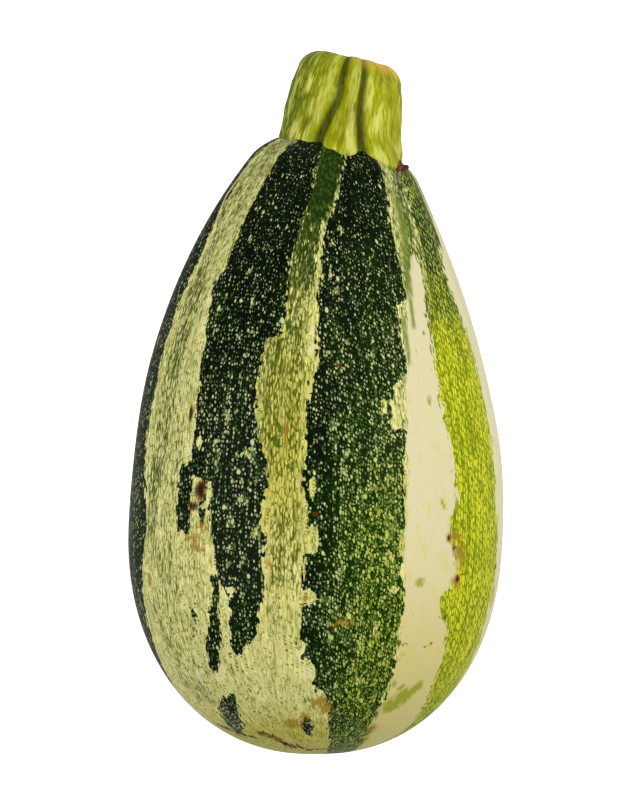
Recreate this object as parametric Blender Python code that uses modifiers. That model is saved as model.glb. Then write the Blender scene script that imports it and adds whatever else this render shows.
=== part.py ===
"""A striped zucchini, picked with a stub of its stalk, lying on its side as it comes to rest.

Metres, +Z up. +Y runs from the blossom end to the stem, and the origin is the spot that touches the table.
The fruit, the stem and the dried scrap are shaped upright, with the blossom end at zero and the stem at the
top, and an empty then lays them down: the side that faced -Y comes to lie uppermost.
"""
import math

import bmesh
import bpy
import numpy as np
from mathutils import Matrix, Vector

# The fruit, upright
FRUIT_LENGTH = 0.16335
BELLY_RADIUS = 0.0507
BELLY_HEIGHT = 0.061
BOTTOM_FULLNESS = 2.2
NECK_NARROWING = 0.61
NARROWING_LENGTH = 0.102
NARROWING_POWER = 2.13
SHOULDER_DEPTH = 0.0054
SHOULDER_ROUNDING = 0.0027
SCAR_RADIUS = 0.0062
SCAR_DEPTH = 0.0011
RIBS = 10
BELLY_RIB_DEPTH = 0.0025
NECK_RIB_DEPTH = 0.022
NECK_LEAN = math.radians(10)
FRUIT_STEPS = 72

# The stem, in the frame of the leaning neck
STEM_HEIGHT = 0.0248
STEM_FOOT_RADIUS = 0.0164
STEM_TOP_RADIUS = 0.0129
STEM_TAPER_POWER = 2.16
RIM_DROP = 0.0052
RIM_WIDTH = 0.0056
RIM_FULLNESS = 1.7
CUT_FACE_DISH = 0.0008
CUT_FACE_TILT = math.radians(3.0)
FOOT_SHIFT = 0.0008
ROOT_DEPTH = 0.0055
ROOT_RADIUS = 0.0140
FLARE_REACH = 0.0040
LIP_HEIGHT = 0.0010
STEM_STEPS = 84

# The furrows of the stem: angle at the foot, angle at the top, half width, depth at the foot and at the top
FURROWS = (
    (-20.5, -8.5, 7.0, 0.0024, 0.0021),
    (19.0, 16.5, 6.5, 0.0023, 0.0021),
    (-3.0, -2.0, 6.0, 0.0006, 0.0),
    (-40.0, -37.0, 9.0, 0.0004, 0.0007),
    (31.0, 28.0, 5.0, 0.0003, 0.0005),
    (96.0, 101.0, 9.0, 0.0021, 0.0016),
    (154.0, 160.0, 8.0, 0.0023, 0.0019),
    (-116.0, -122.0, 10.0, 0.0022, 0.0016),
)
# How far each lobe of the foot hangs over the shoulder: angle, half width, drop
FOOT_LOBES = (
    (0.0, 21.0, 0.0026),
    (24.0, 8.0, 0.0005),
    (44.0, 15.0, 0.0036),
    (-45.0, 24.0, 0.0009),
    (130.0, 26.0, 0.0019),
    (178.0, 22.0, 0.0023),
    (-150.0, 28.0, 0.0017),
)

# The dried scrap in the corner between foot and shoulder
SCRAP_ANGLE = 59.0
SCRAP_ANGLE_SPREAD = 6.5
SCRAP_DROP = 0.0018
SCRAP_DROP_SPREAD = 0.0010
SCRAP_CRUMBS = 12
CRUMB_RADIUS = 0.0012
CRUMB_LIFT = 0.0008
SCRAP_SEED = 5

# How it lies: the station along the fruit that its weight rests over, and the depth of the flattened spot
REST_STATION = 0.0845
REST_DEPTH = 0.0004
GAP = 0.0003
MERGE = 1e-6


def empty_scene():
    """Removes what the file opened with, and makes the two collections."""
    for old in list(bpy.data.objects):
        bpy.data.objects.remove(old)
    made = []
    for name in ("zucchini", "cutters"):
        group = bpy.data.collections.new(name)
        bpy.context.scene.collection.children.link(group)
        made.append(group)
    return made


def flat_colour(name, colour, roughness):
    """A plain Principled material."""
    material = bpy.data.materials.new(name)
    material.use_nodes = True
    shader = material.node_tree.nodes["Principled BSDF"]
    shader.inputs["Base Color"].default_value = (*colour, 1.0)
    shader.inputs["Roughness"].default_value = roughness
    shader.inputs["Metallic"].default_value = 0.0
    material.diffuse_color = (*colour, 1.0)
    return material


def smooth(value):
    """The smooth step from 0 to 1, for arrays and numbers alike."""
    t = np.clip(value, 0.0, 1.0)
    return t * t * (3.0 - 2.0 * t)


def apart(angle, other):
    """Degrees from one angle to another the short way round, for angle in radians and other in degrees."""
    return (np.degrees(angle) - other + 180.0) % 360.0 - 180.0


def belly_curve(station):
    """The fruit's radius at a distance from the blossom end.

    Below the belly it is a full ellipse, above it a power law, and the last stretch rounds off into the neck.
    """
    below = np.clip((BELLY_HEIGHT - station) / BELLY_HEIGHT, 0.0, 1.0)
    above = np.clip(station - BELLY_HEIGHT, 0.0, None) / NARROWING_LENGTH
    bottom = (1.0 - below**BOTTOM_FULLNESS) ** (1.0 / BOTTOM_FULLNESS)
    top = 1.0 - NECK_NARROWING * above**NARROWING_POWER
    in_shoulder = np.clip(1.0 - (FRUIT_LENGTH - station) / SHOULDER_DEPTH, 0.0, 1.0)
    return BELLY_RADIUS * np.where(station < BELLY_HEIGHT, bottom, top) - SHOULDER_ROUNDING * in_shoulder**2


def fruit_outline():
    """(radius, height) from the middle of the neck down the outer side to the blossom scar."""
    shoulder_foot = FRUIT_LENGTH - SHOULDER_DEPTH
    points = [(0.0, FRUIT_LENGTH), (0.5 * float(belly_curve(FRUIT_LENGTH)), FRUIT_LENGTH)]
    for station in np.linspace(FRUIT_LENGTH, shoulder_foot, 5)[:-1]:
        points.append((float(belly_curve(station)), float(station)))
    for station in np.linspace(shoulder_foot, BELLY_HEIGHT, 22):
        points.append((float(belly_curve(station)), float(station)))
    power = 2.0 / BOTTOM_FULLNESS
    for turn in np.radians(np.linspace(84, 9, 13)):
        height = BELLY_HEIGHT * (1.0 - math.cos(turn) ** power)
        points.append((BELLY_RADIUS * math.sin(turn) ** power, height))
    points.append((SCAR_RADIUS, 0.0))
    points.append((0.55 * SCAR_RADIUS, SCAR_DEPTH))
    points.append((0.0, 0.8 * SCAR_DEPTH))
    return points


def stem_outline(grow):
    """(radius, height) of the stem from the middle of its cut face down to the middle of its root.

    Heights above zero stay measured from the foot line, which shape_stem then hangs over the shoulder.
    """
    rim_foot = STEM_HEIGHT - RIM_DROP
    rim_radius = float(stem_wall(rim_foot))
    power = 2.0 / RIM_FULLNESS
    points = [(0.0, STEM_HEIGHT - CUT_FACE_DISH)]
    points.append((0.5 * (rim_radius - RIM_WIDTH), STEM_HEIGHT - 0.6 * CUT_FACE_DISH))
    for turn in np.radians((88, 66, 45, 24, 8)):
        radius = rim_radius - RIM_WIDTH * (1.0 - math.cos(turn) ** power)
        points.append((radius, rim_foot + RIM_DROP * math.sin(turn) ** power))
    for height in np.linspace(rim_foot, LIP_HEIGHT, 9):
        points.append((float(stem_wall(height)), float(height)))
    for height in (0.5 * LIP_HEIGHT, 0.0, -0.5 * LIP_HEIGHT):
        points.append((STEM_FOOT_RADIUS, height))
    points.append((ROOT_RADIUS + grow, -ROOT_DEPTH - grow))
    points.append((0.0, -ROOT_DEPTH - grow))
    return points


def stem_wall(height):
    """The stem's mean radius at a height above its foot."""
    share = np.clip(height / STEM_HEIGHT, 0.0, 1.0)
    return STEM_FOOT_RADIUS - (STEM_FOOT_RADIUS - STEM_TOP_RADIUS) * share**STEM_TAPER_POWER


def turned(name, outline, steps, group):
    """A solid of revolution about Z, from an outline that runs down its outer side."""
    profile = bmesh.new()
    corners = [profile.verts.new((radius, 0.0, height)) for radius, height in outline]
    for first, second in zip(corners, corners[1:]):
        profile.edges.new((first, second))
    mesh = bpy.data.meshes.new(name)
    profile.to_mesh(mesh)
    profile.free()
    piece = bpy.data.objects.new(name, mesh)
    group.objects.link(piece)
    screw = piece.modifiers.new("turn", "SCREW")
    screw.steps = steps
    screw.render_steps = steps
    screw.use_merge_vertices = True
    screw.merge_threshold = MERGE
    graph = bpy.context.evaluated_depsgraph_get()
    piece.data = bpy.data.meshes.new_from_object(piece.evaluated_get(graph))
    piece.modifiers.clear()
    weld(piece.data)
    return piece


def weld(mesh):
    """Joins points that share a place, such as the turned ones on the axis."""
    whole = bmesh.new()
    whole.from_mesh(mesh)
    bmesh.ops.remove_doubles(whole, verts=whole.verts, dist=MERGE)
    whole.to_mesh(mesh)
    whole.free()


def reshape(mesh, rule):
    """Moves every point of a mesh by a rule on the whole (n, 3) array."""
    places = np.zeros(len(mesh.vertices) * 3)
    mesh.vertices.foreach_get("co", places)
    moved = rule(places.reshape(-1, 3))
    mesh.vertices.foreach_set("co", moved.ravel())
    mesh.update()


def round_coordinates(places):
    """Radius, angle and height: the angle is 0 on the -Y side and grows towards +X."""
    x, y, z = places.T
    return np.hypot(x, y), np.arctan2(x, -y), z


def neck_lean(height):
    """How far the fruit's sections lean towards +X, from the belly up, and how far their middles have moved."""
    share = np.clip((height - BELLY_HEIGHT) / (FRUIT_LENGTH - BELLY_HEIGHT), 0.0, 1.0)
    moved = NECK_LEAN * (FRUIT_LENGTH - BELLY_HEIGHT) * share**3 / 3.0
    return NECK_LEAN * share**2, moved


def shape_fruit(places, grow=0.0):
    """Gives the turned fruit its ten soft ribs, its slightly uneven round and its leaning neck."""
    radius, angle, height = round_coordinates(places)
    full = radius / np.maximum(belly_curve(height), MERGE)
    to_neck = smooth((height - 0.6 * BELLY_HEIGHT) / (FRUIT_LENGTH - 0.6 * BELLY_HEIGHT))
    depth = BELLY_RIB_DEPTH + (NECK_RIB_DEPTH - BELLY_RIB_DEPTH) * to_neck**2
    ribs = depth * np.cos(RIBS * angle + 0.9 * np.sin(angle + 0.7) + 0.4)
    uneven = 0.004 * np.cos(2.0 * angle + 1.1) + 0.003 * np.cos(3.0 * angle - 30.0 * height)
    radius = radius * (1.0 + (ribs + uneven) * smooth(full * 1.6)) + grow
    lean, moved = neck_lean(height)
    sideways = radius * np.sin(angle)
    x = moved + sideways * np.cos(lean)
    y = -radius * np.cos(angle)
    z = height - sideways * np.sin(lean) + grow * (height > FRUIT_LENGTH - MERGE)
    return np.stack([x, y, z], axis=1)


def foot_drop(angle):
    """How far the foot hangs below the neck's plane at each angle."""
    drop = np.zeros_like(angle)
    for middle, half_width, depth in FOOT_LOBES:
        drop = drop + depth * np.exp(-((apart(angle, middle) / half_width) ** 2))
    return drop


def furrow_depth(angle, height):
    """How deep the furrows are cut into the stem at each point: they swerve from foot to top below mid height."""
    share = smooth((height - 0.1 * STEM_HEIGHT) / (0.45 * STEM_HEIGHT))
    cut = np.zeros_like(angle)
    for foot_angle, top_angle, half_width, foot_depth, top_depth in FURROWS:
        middle = foot_angle + (top_angle - foot_angle) * share
        depth = foot_depth + (top_depth - foot_depth) * share
        cut = cut + depth * np.exp(-((apart(angle, middle) / half_width) ** 2))
    return cut


def shape_stem(places, grow=0.0):
    """Flares the stem's foot over the shoulder, tucks its lip under and cuts its furrows."""
    radius, angle, height = round_coordinates(places)
    above = np.clip(height, 0.0, None)
    wall = smooth((radius - 0.35 * STEM_TOP_RADIUS) / (0.5 * STEM_TOP_RADIUS))
    in_stem = smooth((height + ROOT_DEPTH) / (0.7 * ROOT_DEPTH))
    drop = foot_drop(angle)
    seat = belly_curve(FRUIT_LENGTH - drop)
    flare = np.maximum(seat - STEM_FOOT_RADIUS, 0.0) * np.exp(-((above / FLARE_REACH) ** 2))
    lip = np.clip(1.0 - height / LIP_HEIGHT, 0.0, 1.5)
    tuck = 0.0005 * lip**2
    change = flare - tuck - furrow_depth(angle, height)
    radius = radius + (change + grow) * wall * in_stem
    hang = drop * (1.0 - smooth(above / (0.45 * STEM_HEIGHT))) * in_stem * wall
    x = radius * np.sin(angle) + FOOT_SHIFT * np.exp(-((height / FLARE_REACH / 1.7) ** 2)) * wall
    y = -radius * np.cos(angle)
    z = height - hang - x * math.tan(CUT_FACE_TILT) * smooth(above / STEM_HEIGHT)
    return np.stack([x, y, z], axis=1)


def neck_frame():
    """Where the stem stands on the fruit, and how it leans."""
    lean, moved = neck_lean(FRUIT_LENGTH)
    return Matrix.Translation((float(moved), 0.0, FRUIT_LENGTH)) @ Matrix.Rotation(float(lean), 4, "Y")


def make_fruit(name, group, grow=0.0):
    fruit = turned(name, fruit_outline(), FRUIT_STEPS, group)
    reshape(fruit.data, lambda places: shape_fruit(places, grow))
    return fruit


def make_stem(name, group, grow=0.0):
    stem = turned(name, stem_outline(grow), STEM_STEPS, group)
    reshape(stem.data, lambda places: shape_stem(places, grow))
    stem.matrix_basis = neck_frame()
    return stem


def make_crumb(number, rng, group):
    """One dry crumb of the scrap: a small lopsided ball."""
    whole = bmesh.new()
    bmesh.ops.create_icosphere(whole, subdivisions=1, radius=CRUMB_RADIUS)
    for corner in whole.verts:
        corner.co *= rng.uniform(0.75, 1.2)
    mesh = bpy.data.meshes.new(f"crumb_{number}")
    whole.to_mesh(mesh)
    whole.free()
    crumb = bpy.data.objects.new(f"crumb_{number}", mesh)
    group.objects.link(crumb)
    angle = math.radians(SCRAP_ANGLE + SCRAP_ANGLE_SPREAD * rng.uniform(-1.0, 1.0))
    drop = SCRAP_DROP + SCRAP_DROP_SPREAD * rng.uniform(-1.0, 1.0)
    radius = float(belly_curve(FRUIT_LENGTH - drop)) + CRUMB_LIFT
    place = Vector((radius * math.sin(angle), -radius * math.cos(angle), -drop))
    turn = Matrix.Rotation(rng.uniform(0.0, math.tau), 4, Vector(rng.normal(size=3)))
    crumb.matrix_basis = neck_frame() @ Matrix.Translation(place) @ turn
    return crumb


def make_scrap(name, group, crumbs):
    """Fuses the crumbs into one dry scrap."""
    rng = np.random.default_rng(SCRAP_SEED)
    for number in range(SCRAP_CRUMBS):
        make_crumb(number, rng, crumbs)
    first, *others = list(crumbs.objects)
    scrap = bpy.data.objects.new(name, first.data)
    scrap.matrix_basis = first.matrix_basis
    group.objects.link(scrap)
    bpy.data.objects.remove(first)
    join = scrap.modifiers.new("fused crumbs", "BOOLEAN")
    join.operation = "UNION"
    join.operand_type = "COLLECTION"
    join.collection = crumbs
    graph = bpy.context.evaluated_depsgraph_get()
    scrap.data = bpy.data.meshes.new_from_object(scrap.evaluated_get(graph))
    scrap.modifiers.clear()
    for other in others:
        bpy.data.objects.remove(other)
    return scrap


def cut_away(piece, cutter, name):
    """Takes the cutter's space out of a piece, and keeps the cutter out of sight."""
    cut = piece.modifiers.new(name, "BOOLEAN")
    cut.operation = "DIFFERENCE"
    cut.object = cutter
    cutter.hide_render = True
    cutter.display_type = "WIRE"


def make_table_cutter(group):
    """A block whose top is the table, which flattens the spot that the fruit lies on."""
    bpy.ops.mesh.primitive_cube_add(size=1.0)
    block = bpy.context.active_object
    for owner in list(block.users_collection):
        owner.objects.unlink(block)
    group.objects.link(block)
    block.name = "table_cutter"
    block.data.transform(Matrix.Diagonal((0.4, 0.4, 0.1, 1.0)))
    block.data.transform(Matrix.Translation((0.0, 0.0, -0.05)))
    return block


def lay_down(pieces, fruit):
    """Parents the upright pieces to an empty that lays them on their side, resting on the flattened spot."""
    lying = bpy.data.objects.new("lying", None)
    bpy.context.scene.collection.objects.link(lying)
    for piece in pieces:
        upright = piece.matrix_basis.copy()
        piece.parent = lying
        piece.matrix_basis = upright
    step = 1e-4
    slope = float(belly_curve(REST_STATION + step) - belly_curve(REST_STATION - step)) / (2.0 * step)
    stem_dips = math.atan(-slope)
    turn = Matrix.Rotation(-math.pi / 2.0 - stem_dips, 4, "X")
    lowest = min((turn @ corner.co).z for corner in fruit.data.vertices)
    under = turn @ Vector((0.0, float(belly_curve(REST_STATION)), REST_STATION))
    lying.matrix_world = Matrix.Translation((0.0, -under.y, -lowest - REST_DEPTH)) @ turn


def main():
    parts, cutters = empty_scene()
    crumbs = bpy.data.collections.new("crumbs")
    bpy.context.scene.collection.children.link(crumbs)

    fruit = make_fruit("fruit", parts)
    stem = make_stem("stem", parts)
    scrap = make_scrap("dried_scrap", parts, crumbs)
    wide_stem = make_stem("stem_cutter", cutters, GAP)
    wide_fruit = make_fruit("fruit_cutter", cutters, GAP)
    table = make_table_cutter(cutters)
    bpy.data.collections.remove(crumbs)

    cut_away(fruit, wide_stem, "seat of the stem")
    cut_away(fruit, table, "flat spot")
    cut_away(scrap, wide_stem, "clear of the stem")
    cut_away(scrap, wide_fruit, "clear of the fruit")
    lay_down((fruit, stem, scrap, wide_stem, wide_fruit), fruit)

    fruit.data.materials.append(flat_colour("squash skin", (0.09, 0.16, 0.03), 0.38))
    stem.data.materials.append(flat_colour("stem rind", (0.33, 0.36, 0.05), 0.5))
    scrap.data.materials.append(flat_colour("dried scrap", (0.11, 0.03, 0.015), 0.8))
    for piece in (fruit, stem):
        piece.data.shade_smooth()
        piece.data.set_sharp_from_angle(angle=math.radians(40))


main()
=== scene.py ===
# %% [markdown]
# A striped zucchini lies on a pale table, seen from straight above.
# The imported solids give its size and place: the fruit, the stem and a dried scrap.
# Here each of them gets a finer skin of the same shape, worked out with numpy, and a material of its own.
# Lengths are in metres unless a name says otherwise, and +Z is up.

# %% Load the frame
import math
from types import SimpleNamespace

import bpy
import numpy as np
from mathutils import Matrix, Vector


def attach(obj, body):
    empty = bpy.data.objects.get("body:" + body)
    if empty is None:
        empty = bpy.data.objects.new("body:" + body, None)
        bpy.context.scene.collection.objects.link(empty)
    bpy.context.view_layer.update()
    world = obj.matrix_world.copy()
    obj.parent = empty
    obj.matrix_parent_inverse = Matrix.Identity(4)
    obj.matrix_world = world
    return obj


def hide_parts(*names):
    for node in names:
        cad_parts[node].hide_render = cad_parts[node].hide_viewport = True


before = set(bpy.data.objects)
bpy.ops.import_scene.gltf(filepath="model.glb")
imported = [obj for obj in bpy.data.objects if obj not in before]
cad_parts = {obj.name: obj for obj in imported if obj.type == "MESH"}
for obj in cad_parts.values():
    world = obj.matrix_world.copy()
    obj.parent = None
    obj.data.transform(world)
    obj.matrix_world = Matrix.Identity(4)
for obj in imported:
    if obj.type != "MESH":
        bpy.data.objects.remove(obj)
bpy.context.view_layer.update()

# %% [markdown]
# The fruit grew round a middle line, so its shape is told best by one outline turned about that line.
# Below the belly the outline is a full ellipse, and above it a power law that narrows to the neck.
# The same named sizes as in the solids are used, so that skin and solid agree to a hair.

# %% Sizes of the fruit and how it lies
FRUIT_LENGTH = 0.16335
BELLY_RADIUS = 0.0507
BELLY_HEIGHT = 0.061
BOTTOM_FULLNESS = 2.2
NECK_NARROWING = 0.61
NARROWING_LENGTH = 0.102
NARROWING_POWER = 2.13
SHOULDER_DEPTH = 0.0054
SHOULDER_ROUNDING = 0.0027
SCAR_REACH = 0.0048
SCAR_DEPTH = 0.0010
RIBS = 10
BELLY_RIB_DEPTH = 0.0025
NECK_RIB_DEPTH = 0.022
NECK_LEAN = math.radians(10)
BELLY_BEND = 0.00065
BEND_HEIGHT = 0.080
BEND_REACH = 0.018
REST_STATION = 0.0845
REST_DEPTH = 0.0004
MM = 1000.0


def smooth(value):
    """The smooth step from 0 to 1."""
    t = np.clip(value, 0.0, 1.0)
    return t * t * (3.0 - 2.0 * t)


def belly_curve(station):
    """Radius at a distance from the blossom end: ellipse, then power law, then rounded into the neck."""
    below = np.clip((BELLY_HEIGHT - station) / BELLY_HEIGHT, 0.0, 1.0)
    above = np.clip(station - BELLY_HEIGHT, 0.0, None) / NARROWING_LENGTH
    bottom = (1.0 - below**BOTTOM_FULLNESS) ** (1.0 / BOTTOM_FULLNESS)
    top = 1.0 - NECK_NARROWING * above**NARROWING_POWER
    in_shoulder = np.clip(1.0 - (FRUIT_LENGTH - station) / SHOULDER_DEPTH, 0.0, 1.0)
    return BELLY_RADIUS * np.where(station < BELLY_HEIGHT, bottom, top) - SHOULDER_ROUNDING * in_shoulder**2


def neck_lean(height):
    """Lean of the sections towards +X from the belly up, and how far their middles have moved."""
    share = np.clip((height - BELLY_HEIGHT) / (FRUIT_LENGTH - BELLY_HEIGHT), 0.0, 1.0)
    return NECK_LEAN * share**2, NECK_LEAN * (FRUIT_LENGTH - BELLY_HEIGHT) * share**3 / 3.0


# %% [markdown]
# A skin is a grid of points: rows go up the piece and columns go round it.
# The first and the last row shrink to one point each, so the skin closes at both ends.
# Small unevenness comes from a few long waves with fixed phases, which close on themselves round the fruit.

# %% Helpers for skins
def wander(angle, along, reach, seed, waves=7):
    """A smooth random field: the mean of waves round the piece and along it, each with its own phase."""
    rng = np.random.default_rng(seed)
    field = np.zeros(np.broadcast(angle, along).shape)
    for _ in range(waves):
        turns = rng.integers(1, 6)
        slope = rng.uniform(-1.0, 1.0) * math.tau / reach
        field = field + np.sin(turns * angle + slope * along + rng.uniform(0.0, math.tau))
    return field / math.sqrt(waves)


def closed_grid(places):
    """Points, four-sided faces between neighbours and a fan at each pole, from places[row, column, xyz]."""
    rows, columns, _ = places.shape
    inner = places[1:-1].reshape(-1, 3)
    points = np.vstack([places[0, :1], inner, places[-1, :1]])
    number = 1 + np.arange((rows - 2) * columns).reshape(rows - 2, columns)
    after = np.roll(number, -1, axis=1)
    quads = np.stack([number[:-1], after[:-1], after[1:], number[1:]], axis=-1).reshape(-1, 4)
    first = np.stack([np.zeros(columns, int), after[0], number[0]], axis=-1)
    last = np.stack([np.full(columns, len(points) - 1), number[-1], after[-1]], axis=-1)
    return points, quads, np.vstack([first, last])


def skin_mesh(name, places):
    """A smooth closed mesh from places[row, column, xyz]."""
    points, quads, fans = closed_grid(places)
    mesh = bpy.data.meshes.new(name)
    mesh.from_pydata(points.tolist(), [], quads.tolist() + fans.tolist())
    mesh.shade_smooth()
    mesh.update()
    return mesh


def per_point(field):
    """A field given on the grid, as one value per point of the mesh that skin_mesh makes from it."""
    return np.concatenate([field[0, :1], field[1:-1].ravel(), field[-1, :1]])


def add_field(mesh, name, field):
    """Keeps a field of numbers on the mesh's points, for the material to read by name."""
    layer = mesh.attributes.new(name, "FLOAT", "POINT")
    layer.data.foreach_set("value", per_point(field).astype(np.float32))


def apart(angle, other):
    """Degrees from one angle to another the short way round, for angle in radians and other in degrees."""
    return (np.degrees(angle) - other + 180.0) % 360.0 - 180.0


def add_place(mesh, name, x, y, z):
    """Keeps a place on the mesh's points, for patterns that follow the growing surface."""
    layer = mesh.attributes.new(name, "FLOAT_VECTOR", "POINT")
    rows = np.stack([per_point(x), per_point(y), per_point(z)], axis=1)
    layer.data.foreach_set("vector", rows.astype(np.float32).ravel())


def add_piece(name, mesh, material):
    """An object at the origin that carries the mesh and its material."""
    piece = bpy.data.objects.new(name, mesh)
    bpy.context.scene.collection.objects.link(piece)
    mesh.materials.append(material)
    return piece


# %% [markdown]
# The fruit lies on its side and rests where its weight balances, with the stem end dipping a little.
# One turn about X lays every upright point down, and the lowest point is pressed into the table by a hair.

# %% Laying the upright shapes down
SLOPE_STEP = 1e-4
rest_slope = float(belly_curve(REST_STATION + SLOPE_STEP) - belly_curve(REST_STATION - SLOPE_STEP))
rest_tilt = math.atan(-rest_slope / (2.0 * SLOPE_STEP))
lay_down = np.array(Matrix.Rotation(-math.pi / 2.0 - rest_tilt, 3, "X"))
under_spot = lay_down @ np.array([0.0, float(belly_curve(REST_STATION)), REST_STATION])
rest_shift = np.array([0.0, -under_spot[1], 0.0])


def laid(places):
    """Upright places turned on their side and moved so that the resting spot is the origin."""
    return places @ lay_down.T + rest_shift


print("stem end dips by", round(math.degrees(rest_tilt), 2), "degrees")

# %% [markdown]
# The fruit's grid has more columns than the solid has, so that its outline is smooth and its ribs are soft.
# The outline runs from the blossom scar up to the middle of the neck, which the stem covers.

# %% The fruit's outline and grid
AROUND = 384
BOTTOM_ROWS = 88
SIDE_ROWS = 136
NECK_ROWS = 8
OVAL_SHARE = 0.004
THREE_SIDED_SHARE = 0.003
DENT_SHARE = 0.0018
DENT_REACH = 0.05


def fruit_outline():
    """(radius, height) rows: an ellipse arc by angle, then equal steps of height, then the neck's flat."""
    power = 2.0 / BOTTOM_FULLNESS
    turn = np.radians(np.linspace(0.0, 90.0, BOTTOM_ROWS, endpoint=False))
    bottom_radius = BELLY_RADIUS * np.sin(turn) ** power
    bottom_height = BELLY_HEIGHT * (1.0 - np.cos(turn) ** power)
    bottom_height = bottom_height + SCAR_DEPTH * np.exp(-((bottom_radius / SCAR_REACH) ** 2))
    side_height = np.linspace(BELLY_HEIGHT, FRUIT_LENGTH, SIDE_ROWS)
    side_radius = belly_curve(side_height)
    neck_radius = side_radius[-1] * (1.0 - np.arange(1, NECK_ROWS + 1) / NECK_ROWS)
    neck_height = np.full(NECK_ROWS, FRUIT_LENGTH)
    radius = np.concatenate([bottom_radius, side_radius, neck_radius])
    return radius, np.concatenate([bottom_height, side_height, neck_height])


outline_radius, outline_height = fruit_outline()
steps = np.hypot(np.diff(outline_radius), np.diff(outline_height))
outline_run = np.concatenate([[0.0], np.cumsum(steps)])
round_angle = np.linspace(-math.pi, math.pi, AROUND, endpoint=False)
angle, height = np.meshgrid(round_angle, outline_height)
radius = outline_radius[:, None] + 0.0 * angle
run = outline_run[:, None] + 0.0 * angle
print("outline", len(outline_radius), "rows, length", round(outline_run[-1], 4))


def fruit_places(angle, radius, height):
    """The outline turned, with ribs that deepen to the neck, a slightly uneven round and a leaning neck."""
    full = radius / np.maximum(belly_curve(height), 1e-6)
    to_neck = smooth((height - 0.6 * BELLY_HEIGHT) / (FRUIT_LENGTH - 0.6 * BELLY_HEIGHT))
    depth = BELLY_RIB_DEPTH + (NECK_RIB_DEPTH - BELLY_RIB_DEPTH) * to_neck**2
    ribs = depth * np.cos(RIBS * angle + 0.9 * np.sin(angle + 0.7) + 0.4)
    bulges = OVAL_SHARE * np.cos(2.0 * angle + 1.1)
    bulges = bulges + THREE_SIDED_SHARE * np.cos(3.0 * angle - 30.0 * height)
    dents = DENT_SHARE * wander(angle, height, DENT_REACH, 11)
    radius = radius * (1.0 + (ribs + bulges + dents) * smooth(full * 1.6))
    lean, moved = neck_lean(height)
    sideways = radius * np.sin(angle)
    bend = BELLY_BEND * np.exp(-(((height - BEND_HEIGHT) / BEND_REACH) ** 2))
    x = moved + sideways * np.cos(lean) + bend
    y = -radius * np.cos(angle)
    z = height - sideways * np.sin(lean)
    return np.stack([x, y, z], axis=-1)


upright_places = fruit_places(angle, radius, height)
skin_places = laid(upright_places)
rest_shift[2] = -skin_places[..., 2].min() - REST_DEPTH
skin_places[..., 2] = np.maximum(skin_places[..., 2] + rest_shift[2], 0.0)
skin = skin_mesh("skin", skin_places)
print("skin", len(skin.polygons), "faces")

# %% [markdown]
# The stripes run from end to end and are never quite straight.
# Each stripe is a short table: a distance from the blossom end in mm, then its left and its right edge as
# angles round the fruit, with 0 uppermost and the angle growing to the right when the stem points up.
# From a table comes a field: how many mm a point lies inside the stripe. The material turns that into a
# stripe with ragged edges, so that the drawing stays crisp at any distance.

# %% Dark stripes on the side that faces up
DARK_STRIPES = (
    ((12, -97, -86), (20, -98, -76.5), (31, -98, -71), (42, -97, -69), (52, -96, -65.6), (58, -96, -63),
     (63, -96, -62.7), (69, -95, -64), (85, -95, -67), (96, -96, -65.6), (112, -97, -64.8), (123, -98, -64),
     (133, -97, -61.6), (139, -96, -64), (155, -95, -66.4), (163, -94, -66)),
    ((29, -29, -26), (31, -29, -23), (33.5, -28.5, -20), (36, -28, -18.4), (42, -27, -17), (47, -28, -16),
     (49, -31, -16), (58, -31.7, -15.2), (63, -32.8, -16.5), (69, -33.2, -16), (74, -33.5, -15),
     (76, -41.5, -15), (79, -41.5, -15.2), (85, -41, -17.6), (90, -40.7, -19.5), (96, -40.5, -20),
     (101, -40.8, -19), (106, -41.5, -19), (110, -42, -17.5), (112.5, -43, -13), (117, -45, -12),
     (123, -45, -12), (125, -44.7, -12.6), (127, -42, -13.6), (133, -41.5, -13.2), (139, -41, -12),
     (150, -41, -10.5), (155, -40, -11), (163, -39, -12)),
    ((24, -40, -38), (27, -40, -35), (31, -39, -32), (36, -36.2, -31.7), (42, -34, -31), (50, -32.6, -30)),
    ((33, -43.4, -42), (36, -42.8, -40.8), (42, -41, -39.4), (44, -40, -39.2)),
    ((61, -46, -40.5), (65, -46.7, -40), (74, -46.5, -41), (79, -45, -41)),
    ((62, -37, -35.4), (76, -37.6, -35)),
    ((6, -56, -50), (9, -53.6, -40), (12, -50, -38), (14.6, -46, -35), (16.7, -41.5, -33.5),
     (17.6, -39, -35)),
    ((7, -6, -3), (8.5, -7, -1), (11, -7, -1.5), (12, -6, -3)),
    ((0, 16, 58), (1.5, 12, 46), (4, 9.6, 36), (9, 6.7, 29.6), (14.6, 5.6, 28.8), (17, 0, 28.6),
     (23, -0.5, 28.8), (25, -3, 29.3), (31, -5.5, 28.8), (36, -4.4, 27.5), (42, -4, 28), (52, -3.6, 26),
     (58, -3, 25.6), (63, -2, 26.5), (74, -4.7, 26.4), (79, -4.4, 26), (85, -3.8, 27.2), (88, -3.5, 28),
     (90, -3.5, 24), (96, -3, 24), (100, -2, 26), (103, -1, 30), (106, -0.3, 30.4), (112, -0.5, 30),
     (122, -0.8, 30), (123.5, -0.6, 34.4), (139, 0, 34.4), (144, 1.7, 32.8), (150, 3.3, 33.6),
     (155, 5, 34.4), (163, 7, 34)),
)

# %% [markdown]
# No picture shows the underside, so its stripes are invented: the same widths, gaps and ragged ends go on
# round the fruit.

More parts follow.
